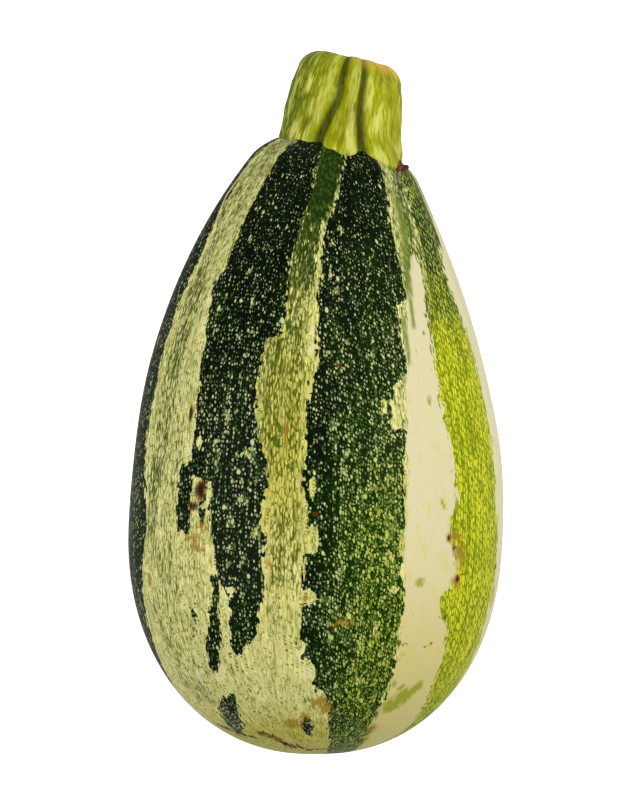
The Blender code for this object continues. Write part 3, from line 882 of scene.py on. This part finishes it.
# %% Dark stripes
DARK_TOP = colour(2, 12, 1)
DARK_LOW = colour(5, 22, 2)
DARK_GREENING = colour(18, 50, 0)
DOT_PALE = colour(190, 200, 140)
DOT_GREEN = colour(60, 86, 38)
DOT_LIME = colour(184, 196, 84)
DOT_OLIVE = colour(72, 100, 4)


def dark_body(tree, grain):
    """The dark colour with its dots: how far each fills its cell is a sum of weighted masks and noises."""
    greening = times_plus(grain.blotch, 0.22, field(tree, "greening"), clamp=True)
    netted = step(times_plus(grain.fine, 0.3, field(tree, "clusters")), 0.2, 1.0)
    celled = larger(greening, step(grain.stemward, 0.12, 0.02))
    celled = larger(celled, scaled(netted, 0.9))
    near_stem = step(grain.stemward, 0.68, 1.0)
    weights = ((celled, 0.07), (netted, 0.2), (greening, 0.12), (grain.rows, 0.12), (near_stem, -0.19),
               (grain.fine, 0.09))
    dot_fill = 0.45
    for mask, weight in weights:
        dot_fill = times_plus(mask, weight, dot_fill)
    dots = speckled(grain.where, 0.72, 1.15, fill=dot_fill, unevenness=0.45, softness=0.16)
    dot_mask = maths("ADD", scaled(dots["Cells"], celled),
                     scaled(dots["Dots"], rest_of(celled)))
    pale_dot = blend(greening, DOT_PALE, DOT_LIME)
    dim_dot = blend(greening, DOT_GREEN, DOT_OLIVE)
    brightness = step(dots["Shade"], times_plus(celled, -0.35, 0.2), 1.0)
    body = blend(step(grain.stemward, 0.8, 0.1), DARK_TOP, DARK_LOW)
    body = blend(greening, body, DARK_GREENING)
    body = blend(scaled(dot_mask, 0.9), body, blend(brightness, dim_dot, pale_dot))
    bright_fill = times_plus(grain.fine, 0.07, times_plus(grain.rows, 0.06, 0.16))
    bright = speckled(grain.where, 1.3, 1.9, fill=bright_fill, unevenness=0.8, softness=0.07)
    body = blend(scaled(bright["Dots"], 0.75), body, pale_dot)
    large = speckled(grain.where, 3.3, 4.4, fill=0.1, unevenness=1.6, softness=0.05)
    return blend(large["Dots"], body, pale_dot)


def lay_dark(tree, grain, under):
    """Dark stripes with their ragged edge, then the pale seam inside the left one."""
    mask = ragged(grain, field(tree, "dark"), "Cell", 1.4, 0.15)
    over = blend(mask, under, dark_body(tree, grain))
    seam = step(times_plus(grain.wobble, 0.2, field(tree, "seam")), -0.25, 0.2)
    return blend(scaled(seam, 0.6), over, PALE_CELL)


# %% [markdown]
# Spots and scars come last. Green spots and tan scars break up cell by cell, brown scars and scratches have
# rusty rims, and cork with a dark core and a rim closes the blossom end.

# %% Spots, scars and the blossom end
SPOT_GREEN = colour(140, 150, 8)
SCAR_TAN = colour(152, 120, 30)
SCAR_BROWN = colour(44, 14, 4)
SCAR_RUST = colour(112, 62, 18)
CORK = colour(150, 124, 70)
CORK_CORE = colour(84, 56, 28)
CORK_RIM = colour(112, 92, 40)
CORK_PALE = colour(184, 166, 108)


def lay_spots(tree, grain, under):
    """Green spots and streaks, then tan scars, each less a share of its cell's random number."""
    spot = uneven(field(tree, "green_spots"), grain.wobble, grain.fine)
    spot = step(times_plus(grain.teeth["Cell"], -0.3, spot), 0.02, 0.6)
    over = blend(scaled(spot, 0.85), under, SPOT_GREEN)
    tan = uneven(field(tree, "tan"), grain.wobble, grain.fine)
    tan = step(times_plus(grain.teeth["Shade"], -0.5, tan), 0.0, 0.6)
    return blend(scaled(tan, 0.85), over, SCAR_TAN)


def how_brown(tree, grain):
    """How brown the skin is: the larger of brown scars and scratches, the latter broken up cell by cell."""
    scratch = times_plus(grain.teeth["Shade"], -0.5, field(tree, "scratches"))
    scratch = times_plus(grain.wobble, 0.3, maths("SUBTRACT", scratch, 0.05))
    brown = larger(field(tree, "brown"), scratch)
    return times_plus(grain.wobble, 0.12, times_plus(grain.fine, 0.12, brown))


def lay_cork(tree, grain, under):
    """Cork at the blossom end: core, body, rim and paler flecks, by the distance in mm from its middle."""
    away = times_plus(grain.wobble, 0.9, field(tree, "from_scar"))
    away = times_plus(grain.teeth["Shade"], 0.9, away)
    cork = blend(step(away, 2.9, 1.2), CORK, CORK_CORE)
    cork = blend(step(away, 4.2, 5.3), cork, CORK_RIM)
    cork = blend(step(grain.fine, 0.1, 0.8), cork, CORK_PALE)
    return blend(step(away, 6.3, 5.6), under, cork)


# %% [markdown]
# The layers are put together in the order in which they lie on the fruit. The skin is satin with a fine
# grain, and brown scars are rougher.

# %% Skin material
def make_skin_material():
    """Satin skin: ground, cream, lime and dark stripes, spots, scars and cork, each laid over the last."""
    material, tree, shader = new_material("zucchini skin")
    grain = make_grain(tree)
    # The pale patches' mask also carries the painted light on the right flank.
    patch = times_plus(grain.fine, 0.2, field(tree, "pale_patches_and_limb_light"))
    patch = step(times_plus(grain.wobble, 0.3, patch), 0.42, 0.95)
    painted = lay_cream(tree, grain, pale_ground(tree, grain, patch), patch)
    painted = lay_dark(tree, grain, lay_lime(tree, grain, painted))
    painted = lay_spots(tree, grain, painted)
    brown = how_brown(tree, grain)
    brown_mask = step(brown, 0.45, 0.8)
    painted = blend(scaled(step(brown, 0.26, 0.55), 0.6), painted, SCAR_RUST)
    painted = blend(scaled(brown_mask, 0.9), painted, SCAR_BROWN)
    tree.links.new(lay_cork(tree, grain, painted), shader.inputs["Base Color"])
    rough = times_plus(grain.fine, 0.03, times_plus(brown_mask, 0.35, 0.38))
    tree.links.new(rough, shader.inputs["Roughness"])
    add_relief(tree, shader, grain.fine, 0.2, 0.00012)
    shader.inputs["Specular IOR Level"].default_value = 0.04
    print("skin material", len(tree.nodes), "nodes")
    return material


skin_piece = add_piece("zucchini_skin", skin, make_skin_material())
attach(skin_piece, "root")
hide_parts("fruit")

# %% [markdown]
# The stem is the stub of stalk left at the cut. It is five-sided, deeply furrowed, and its foot flares
# over the shoulder in lobes. Its outline is turned like the fruit's, and then furrows are cut, the foot is
# hung over the shoulder and fine ribs are laid on.

# %% Sizes of the stem
STEM_HEIGHT = 0.0248
STEM_FOOT_RADIUS = 0.0164
STEM_TOP_RADIUS = 0.0129
STEM_TAPER_POWER = 2.16
RIM_DROP = 0.0052
RIM_WIDTH = 0.0056
RIM_FULLNESS = 1.7
CUT_FACE_DISH = 0.0008
CUT_FACE_TILT = math.radians(3.0)
FOOT_SHIFT = 0.0008
ROOT_DEPTH = 0.0030
FLARE_REACH = 0.0040
LIP_HEIGHT = 0.0010
STEM_AROUND = 320
FURROWS = (
    (-20.5, -8.5, 7.0, 0.0024, 0.0021), (19.0, 16.5, 6.5, 0.0023, 0.0021), (-3.0, -2.0, 6.0, 0.0006, 0.0),
    (-40.0, -37.0, 9.0, 0.0004, 0.0007), (31.0, 28.0, 5.0, 0.0003, 0.0005),
    (96.0, 101.0, 9.0, 0.0021, 0.0016), (154.0, 160.0, 8.0, 0.0023, 0.0019),
    (-116.0, -122.0, 10.0, 0.0022, 0.0016),
)
DEEP_FURROW = 0.0020
STEM_KNOBS = (
    (-49, 3.0, 1.6, 2.4), (8, 3.6, 1.2, 3.4), (12, 0.6, 1.6, 2.2), (35, 1.2, 1.8, 2.6), (33, 8.0, 1.0, 2.4),
    (-44, 14, 0.8, 2.6), (-36, 9, 0.8, 2.2), (25, 14, 0.7, 3.4), (60, 2.0, 1.4, 2.4), (110, 3.0, 1.6, 2.6),
    (140, 2.0, 1.5, 2.8), (-160, 3.0, 1.7, 2.8), (-95, 2.5, 1.6, 2.6), (-130, 6.0, 1.0, 3.0),
    (176, 9.0, 1.0, 3.0),
)
FOOT_LOBES = (
    (0.0, 21.0, 0.0026), (24.0, 8.0, 0.0005), (44.0, 15.0, 0.0036), (-45.0, 24.0, 0.0009),
    (130.0, 26.0, 0.0019), (178.0, 22.0, 0.0023), (-150.0, 28.0, 0.0017),
)


def stem_wall(height):
    """The stem's mean radius at a height above its foot: it narrows slowly, then faster towards the cut."""
    share = np.clip(height / STEM_HEIGHT, 0.0, 1.0)
    return STEM_FOOT_RADIUS - (STEM_FOOT_RADIUS - STEM_TOP_RADIUS) * share**STEM_TAPER_POWER


def stem_outline():
    """(radius, height) rows from the root's middle up the wall, over the rim and in to the face's middle."""
    rim_foot = STEM_HEIGHT - RIM_DROP
    power = 2.0 / RIM_FULLNESS
    root = np.linspace(0.0, 1.0, 8, endpoint=False)
    wall = np.linspace(-0.5 * LIP_HEIGHT, rim_foot, 96, endpoint=False)
    turn = np.radians(np.linspace(0.0, 90.0, 22, endpoint=False))
    flat_radius = float(stem_wall(rim_foot)) - RIM_WIDTH
    face = np.linspace(flat_radius, 0.0, 26)
    radius = [0.8 * STEM_FOOT_RADIUS * root, stem_wall(wall)]
    radius.append(float(stem_wall(rim_foot)) - RIM_WIDTH * (1.0 - np.cos(turn) ** power))
    radius.append(face)
    height = [np.full(8, -ROOT_DEPTH), wall, rim_foot + RIM_DROP * np.sin(turn) ** power]
    height.append(STEM_HEIGHT - CUT_FACE_DISH * (1.0 - (face / flat_radius) ** 2))
    return np.concatenate(radius), np.concatenate(height)


def foot_drop(angle):
    """How far the foot hangs below the neck's plane: the sum of a bell curve for each lobe."""
    return sum(drop * np.exp(-((apart(angle, middle) / half) ** 2)) for middle, half, drop in FOOT_LOBES)


def swerve(height):
    """How far a furrow's line has moved over from its foot's angle to its top's, from 0 to 1."""
    return smooth((height - 0.1 * STEM_HEIGHT) / (0.45 * STEM_HEIGHT))


def furrow_depth(angle, height):
    """How deep the furrows are: a bell curve round each furrow's line, which swerves below mid height."""
    share = swerve(height)
    cut = np.zeros_like(angle)
    for foot_angle, top_angle, half_width, foot_depth, top_depth in FURROWS:
        middle = foot_angle + (top_angle - foot_angle) * share
        depth = foot_depth + (top_depth - foot_depth) * share
        cut = cut + depth * np.exp(-((apart(angle, middle) / half_width) ** 2))
    return cut


def band_beside(angle, height):
    """Pale bands along the left wall of each deep furrow: a bell curve beside the furrow's line."""
    share = swerve(height)
    band = np.zeros_like(angle)
    for foot_angle, top_angle, half_width, foot_depth, _ in FURROWS:
        middle = foot_angle + (top_angle - foot_angle) * share - 1.7 * half_width
        deep = min(foot_depth / DEEP_FURROW, 1.0)
        band = np.maximum(band, deep * np.exp(-((apart(angle, middle) / (0.75 * half_width)) ** 2)))
    return band


# %% [markdown]
# Furrows, ribs and wrinkles change the wall's radius together, and fade out at the root and on the cut face.
# The cut face has a hollow pith in its middle and a ring of bundles, as a cut stalk has.

# %% The stem's surface
PITH_RADIUS = 0.0021
PITH_DEPTH = 0.0012
BUNDLE_RING = 0.0070
BUNDLE_WIDTH = 0.0011
BUNDLE_HEIGHT = 0.00022
RIM_WAVE = 0.00022
LIP_TUCK = 0.0005
RIB_HEIGHT = 0.00010
WRINKLE_HEIGHT = 0.00012


def stem_places(angle, radius, height):
    """The outline turned, flared at the foot, tucked in under its lip, furrowed, ribbed and wrinkled."""
    above = np.clip(height, 0.0, None)
    wall = smooth((radius - 0.35 * STEM_TOP_RADIUS) / (0.5 * STEM_TOP_RADIUS))
    in_stem = smooth((height + ROOT_DEPTH) / (0.7 * ROOT_DEPTH))
    drop = foot_drop(angle)
    seat = belly_curve(FRUIT_LENGTH - drop)
    flare = np.maximum(seat - STEM_FOOT_RADIUS, 0.0) * np.exp(-((above / FLARE_REACH) ** 2))
    tuck = LIP_TUCK * np.clip(1.0 - height / LIP_HEIGHT, 0.0, 1.5) ** 2
    ribs = np.cos(23.0 * angle + 0.8 * np.sin(3.0 * angle)) + 0.7 * np.cos(41.0 * angle + 60.0 * above)
    wrinkles = WRINKLE_HEIGHT * wander(angle * 3.0, height, 0.006, 5, 12)
    change = flare - tuck - furrow_depth(angle, height) + RIB_HEIGHT * ribs + wrinkles
    radius = radius + change * wall * in_stem
    hang = drop * (1.0 - smooth(above / (0.45 * STEM_HEIGHT))) * in_stem * wall
    x = radius * np.sin(angle) + FOOT_SHIFT * np.exp(-((height / FLARE_REACH / 1.7) ** 2)) * wall
    y = -radius * np.cos(angle)
    face = smooth((above - STEM_HEIGHT + 2.0 * CUT_FACE_DISH) / CUT_FACE_DISH)
    pith = PITH_DEPTH * np.exp(-((radius / PITH_RADIUS) ** 2)) * face
    in_ring = np.exp(-(((radius - BUNDLE_RING) / BUNDLE_WIDTH) ** 2))
    bundles = BUNDLE_HEIGHT * np.cos(10.0 * angle) * in_ring * face
    rim_wave = RIM_WAVE * wander(angle, height, 0.1, 21) * smooth(above / STEM_HEIGHT * 2.0 - 1.0)
    z = height - hang - x * math.tan(CUT_FACE_TILT) * smooth(above / STEM_HEIGHT) - pith + bundles + rim_wave
    return np.stack([x, y, z], axis=-1)


def on_neck(places):
    """Places in the stem's own frame moved onto the fruit's leaning neck."""
    lean, moved = neck_lean(FRUIT_LENGTH)
    turn = np.array(Matrix.Rotation(float(lean), 3, "Y"))
    return places @ turn.T + np.array([float(moved), 0.0, FRUIT_LENGTH])


stem_radius_rows, stem_height_rows = stem_outline()
stem_round = np.linspace(-math.pi, math.pi, STEM_AROUND, endpoint=False)
stem_angle, stem_height = np.meshgrid(stem_round, stem_height_rows)
stem_radius = stem_radius_rows[:, None] + 0.0 * stem_angle
stem = skin_mesh("stem_skin", laid(on_neck(stem_places(stem_angle, stem_radius, stem_height))))
on_stem = (stem_angle, stem_height * MM, np.maximum(stem_radius, 1e-4))
stem_fields = {
    "furrow": furrow_depth(stem_angle, stem_height) * MM,
    "band": band_beside(stem_angle, stem_height),
    "knobs": ovals_field(STEM_KNOBS, *on_stem),
    "up": stem_height * MM,
    "from_middle": stem_radius * MM,
    "side": np.sin(stem_angle),
}
for name, values in stem_fields.items():
    add_field(stem, name, values)
stem_x = STEM_FOOT_RADIUS * np.sin(stem_angle)
stem_y = -STEM_FOOT_RADIUS * np.cos(stem_angle)
add_place(stem, "stem_place", stem_x, stem_y, stem_height)
print("stem", len(stem.polygons), "faces")

# %% [markdown]
# The rind of the stem is yellow-green with pale streaks on its ribs and dry at the cut. Shade is painted
# into its furrows, and into small pits on its left side.

# %% Stem material
RIND = colour(148, 156, 0)
RIND_OLIVE = colour(126, 116, 0)
RIND_LEFT = colour(84, 98, 0)
RIND_PALE = colour(208, 208, 84)
RIND_BAND = colour(182, 186, 88)
RIND_KNOB = colour(206, 206, 100)
# Painted shade for the furrows and the pits.
FURROW_SHADE = colour(14, 14, 0)
RIM_DRY = colour(212, 172, 66)
CUT_TAN = colour(196, 178, 120)
CUT_BUNDLE = colour(132, 112, 62)
CUT_PITH = colour(150, 126, 82)


def lay_rind(tree, where, long_streak, thin_streak, blotch):
    """Rind with streaks, pale bands and knobs, dark hairs, painted shade in pits and furrows, and a dry rim
    on the right.
    """
    side = field(tree, "side")
    rind = blend(step(blotch, -0.3, 0.9), RIND, RIND_OLIVE)
    rind = blend(step(side, -0.35, -0.95), rind, RIND_LEFT)
    ridge = step(times_plus(thin_streak, 0.45, long_streak), 0.1, 0.8)
    rind = blend(scaled(ridge, 0.8), rind, RIND_PALE)
    cells = speckled(where, 1.0, 3.2, fill=0.5, unevenness=0.8, softness=0.25)
    rind = blend(scaled(cells["Dots"], 0.25), rind, RIND_PALE)
    band = times_plus(long_streak, 0.4, field(tree, "band"))
    band = step(times_plus(thin_streak, 0.35, band), 0.35, 1.25)
    rind = blend(scaled(band, 0.75), rind, RIND_BAND)
    knob = step(times_plus(thin_streak, 0.3, field(tree, "knobs")), 0.2, 0.9)
    rind = blend(scaled(knob, 0.75), rind, RIND_KNOB)
    hair = step(thin_streak, -0.3, -0.8)
    rind = blend(scaled(hair, 0.6), rind, RIND_LEFT)
    # Pits on the left side are dark dots of painted shade.
    pit_shade = speckled(where, 0.7, 1.0, fill=0.1, unevenness=1.4, softness=0.08)
    pit_shade_share = scaled(step(side, -0.2, -0.7), 0.8)
    rind = blend(scaled(pit_shade["Dots"], pit_shade_share), rind, FURROW_SHADE)
    # Painted shade in the furrows, laid over the furrows that the shape cuts.
    shade = step(times_plus(thin_streak, 0.25, field(tree, "furrow")), 0.8, 2.1)
    rind = blend(scaled(shade, 0.8), rind, FURROW_SHADE)
    near_rim = step(maths("ADD", field(tree, "up"), long_streak), 20.5, 24.5)
    dry = scaled(near_rim, step(side, -0.1, 0.7))
    return blend(scaled(dry, 0.75), rind, RIM_DRY)


def lay_cut_face(middle, blotch):
    """The cut face by the distance in mm from its middle: tan, with a darker ring of bundles and a pith."""
    off_ring = maths("ABSOLUTE", maths("SUBTRACT", middle, BUNDLE_RING * MM))
    ring = rest_of(step(off_ring, 0.4, 1.2))
    face = blend(scaled(ring, times_plus(blotch, 0.3, 0.5)), CUT_TAN, CUT_BUNDLE)
    return blend(step(middle, 2.8, 1.2), face, CUT_PITH)


def make_stem_material():
    """Semi-matte rind: streaks along the stem, painted shade in the furrows, a dry rim, and a tan cut face
    with its ring.
    """
    material, tree, shader = new_material("stem rind")
    where = place(tree, "stem_place")
    long_streak = streak(where, 2.0, 9.0, 3.0)
    thin_streak = streak(where, 0.6, 3.5)
    blotch = streak(where, 4.5, 9.0)
    rind = lay_rind(tree, where, long_streak, thin_streak, blotch)
    middle = field(tree, "from_middle")
    inside_rim = step(times_plus(blotch, 0.3, middle), 9.6, 8.6)
    on_face = scaled(inside_rim, step(field(tree, "up"), 20.0, 21.0))
    painted = blend(on_face, rind, lay_cut_face(middle, blotch))
    tree.links.new(painted, shader.inputs["Base Color"])
    tree.links.new(times_plus(on_face, 0.3, 0.46), shader.inputs["Roughness"])
    relief = maths("ADD", long_streak, scaled(thin_streak, 0.6))
    add_relief(tree, shader, relief, 0.35, 0.0002)
    shader.inputs["Specular IOR Level"].default_value = 0.08
    print("stem material", len(tree.nodes), "nodes")
    return material


stem_piece = add_piece("zucchini_stem", stem, make_stem_material())
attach(stem_piece, "root")
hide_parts("stem")

# %% [markdown]
# A few crumbs of dried tissue stick in the corner between the stem's foot and the shoulder. Each crumb is
# a small ball pushed in and out by waves, and together they fill the space of the solid.

# %% Dried crumbs
CRUMBS = 15
CRUMB_RADIUS = 0.00105
CRUMB_ROWS = 15
CRUMB_COLUMNS = 24
SCRAP_ANGLE = 58.0
SCRAP_ANGLE_SPREAD = 8.0
SCRAP_DROP = 0.0019
SCRAP_DROP_SPREAD = 0.0013
CRUMB_STANDOUT = 0.0004
CRUMB_DARK = colour(58, 18, 8)
CRUMB_RUST = colour(134, 60, 26)


def crumb_places(rng):
    """A ball by two angles, its radius changed by waves, set on the shoulder at a random place."""
    up = np.linspace(-0.5 * math.pi, 0.5 * math.pi, CRUMB_ROWS)[:, None]
    turn = np.linspace(-math.pi, math.pi, CRUMB_COLUMNS, endpoint=False)[None, :]
    rough = 1.0 + 0.22 * np.cos(up) * wander(turn, up, 1.7, int(rng.integers(1, 999)), 9)
    level = np.sin(up) + 0.0 * turn
    ball = np.stack([np.cos(up) * np.sin(turn), -np.cos(up) * np.cos(turn), level], axis=-1)
    ball = ball * rough[..., None] * CRUMB_RADIUS * rng.uniform(0.55, 1.1, 3)
    spin = np.array(Matrix.Rotation(rng.uniform(0.0, math.tau), 3, rng.normal(size=3).tolist()))
    at = math.radians(SCRAP_ANGLE + SCRAP_ANGLE_SPREAD * rng.uniform(-1.0, 1.0))
    drop = SCRAP_DROP + SCRAP_DROP_SPREAD * rng.uniform(-1.0, 1.0)
    out = float(belly_curve(FRUIT_LENGTH - drop)) + CRUMB_STANDOUT
    return ball @ spin.T + np.array([out * math.sin(at), -out * math.cos(at), -drop])


def make_crumbs():
    """All crumbs in one mesh: each has the same grid, so its faces are the first one's, counted on."""
    rng = np.random.default_rng(8)
    balls = [laid(on_neck(crumb_places(rng))) for _ in range(CRUMBS)]
    points, quads, fans = closed_grid(balls[0])
    all_points = np.vstack([closed_grid(ball)[0] for ball in balls])
    shifts = len(points) * np.arange(CRUMBS)[:, None, None]
    all_quads = (quads[None] + shifts).reshape(-1, 4)
    all_fans = (fans[None] + shifts).reshape(-1, 3)
    mesh = bpy.data.meshes.new("crumbs")
    mesh.from_pydata(all_points.tolist(), [], all_quads.tolist() + all_fans.tolist())
    mesh.shade_smooth()
    return mesh


def make_crumb_material():
    """Matte red-brown, darker in patches, on the object's own coordinates."""
    material, tree, shader = new_material("dried crumbs")
    where = add_node(tree, "ShaderNodeTexCoord").outputs["Object"]
    patch = streak(where, 0.9, 0.9, 3.0)
    painted = blend(step(patch, -0.5, 0.6), CRUMB_DARK, CRUMB_RUST)
    tree.links.new(painted, shader.inputs["Base Color"])
    add_relief(tree, shader, patch, 0.6, 0.0003)
    shader.inputs["Roughness"].default_value = 0.75
    return material


crumb_piece = add_piece("dried_crumbs", make_crumbs(), make_crumb_material())
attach(crumb_piece, "root")
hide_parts("dried_scrap")

# %% [markdown]
# The table is a plain white one, lit from all sides and glowing faintly, as a light table for product
# pictures does, so that hardly any shadow shows round the fruit.

# %% Table
TABLE_SIZE = 8.0
TABLE_WHITE = (0.55, 0.55, 0.55, 1.0)
TABLE_GLOW = 0.95


def make_table():
    """A flat white square with its middle under the fruit."""
    half = TABLE_SIZE / 2.0
    mesh = bpy.data.meshes.new("table")
    corners = [(-half, -half, 0), (half, -half, 0), (half, half, 0), (-half, half, 0)]
    mesh.from_pydata(corners, [], [(0, 1, 2, 3)])
    material, tree, shader = new_material("white table")
    shader.inputs["Base Color"].default_value = TABLE_WHITE
    shader.inputs["Roughness"].default_value = 0.9
    shader.inputs["Emission Color"].default_value = (1.0, 1.0, 1.0, 1.0)
    seen = add_node(tree, "ShaderNodeLightPath").outputs["Is Camera Ray"]
    tree.links.new(scaled(seen, TABLE_GLOW), shader.inputs["Emission Strength"])
    return add_piece("table", mesh, material)


make_table()

# %% [markdown]
# The light is soft: a white surrounding and three large lamps, one to each side of the camera and one at
# the stem end. Each row holds a lamp's name, where it stands and its side in metres, and its power in watts.

# %% Light
ROOM_LIGHT = 0.45
LAMPS = (
    ("right_lamp", (1.0, 0.2, 0.68), 1.0, 9.0),
    ("left_lamp", (-0.85, 0.1, 0.85), 1.0, 6.5),
    ("stem_lamp", (0.0, 0.95, 0.8), 0.9, 4.0),
)


def add_lamp(name, stand, size, power):
    """A square area lamp that faces the fruit from where it stands."""
    lamp = bpy.data.lights.new(name, "AREA")
    lamp.shape = "SQUARE"
    lamp.size = size
    lamp.energy = power
    holder = bpy.data.objects.new(name, lamp)
    turn = Vector(stand).to_track_quat("Z", "Y").to_matrix().to_4x4()
    holder.matrix_world = Matrix.Translation(stand) @ turn
    bpy.context.scene.collection.objects.link(holder)


def set_surroundings(strength):
    """An even white room."""
    world = bpy.data.worlds.new("white room")
    world.use_nodes = True
    background = world.node_tree.nodes["Background"]
    background.inputs["Color"].default_value = (1.0, 1.0, 1.0, 1.0)
    background.inputs["Strength"].default_value = strength
    bpy.context.scene.world = world


set_surroundings(ROOM_LIGHT)
for lamp_values in LAMPS:
    add_lamp(*lamp_values)

# %% [markdown]
# The camera looks square on to the fruit's length from above, with a long lens, so that the outline on
# the picture is the fruit's true outline. The picture's middle lies a little above the belly.

# %% Camera
PIXEL = 0.00027
PICTURE_WIDTH = 632
PICTURE_HEIGHT = 800
PICTURE_AXIS = 315.5
PICTURE_BLOSSOM_END = 754.0
CAMERA_DISTANCE = 1.3
SENSOR_HEIGHT = 36.0


def add_camera():
    """A camera on the side of the fruit that faces up, aimed square at its middle line."""
    sideways = (PICTURE_WIDTH / 2.0 - PICTURE_AXIS) * PIXEL
    along = (PICTURE_BLOSSOM_END - PICTURE_HEIGHT / 2.0) * PIXEL
    stand = laid(np.array([sideways, -CAMERA_DISTANCE, along]))
    lens = bpy.data.cameras.new("camera")
    lens.sensor_fit = "VERTICAL"
    lens.sensor_height = SENSOR_HEIGHT
    lens.lens = SENSOR_HEIGHT * CAMERA_DISTANCE / (PICTURE_HEIGHT * PIXEL)
    camera = bpy.data.objects.new("camera", lens)
    bpy.context.scene.collection.objects.link(camera)
    turn = Matrix(lay_down.tolist()) @ Matrix.Rotation(math.pi / 2.0, 3, "X")
    camera.matrix_world = Matrix.Translation(stand.tolist()) @ turn.to_4x4()
    bpy.context.scene.camera = camera
    print("lens", round(lens.lens, 1), "mm, stands at", stand.round(3))


add_camera()
bpy.context.scene.view_settings.view_transform = "Standard"
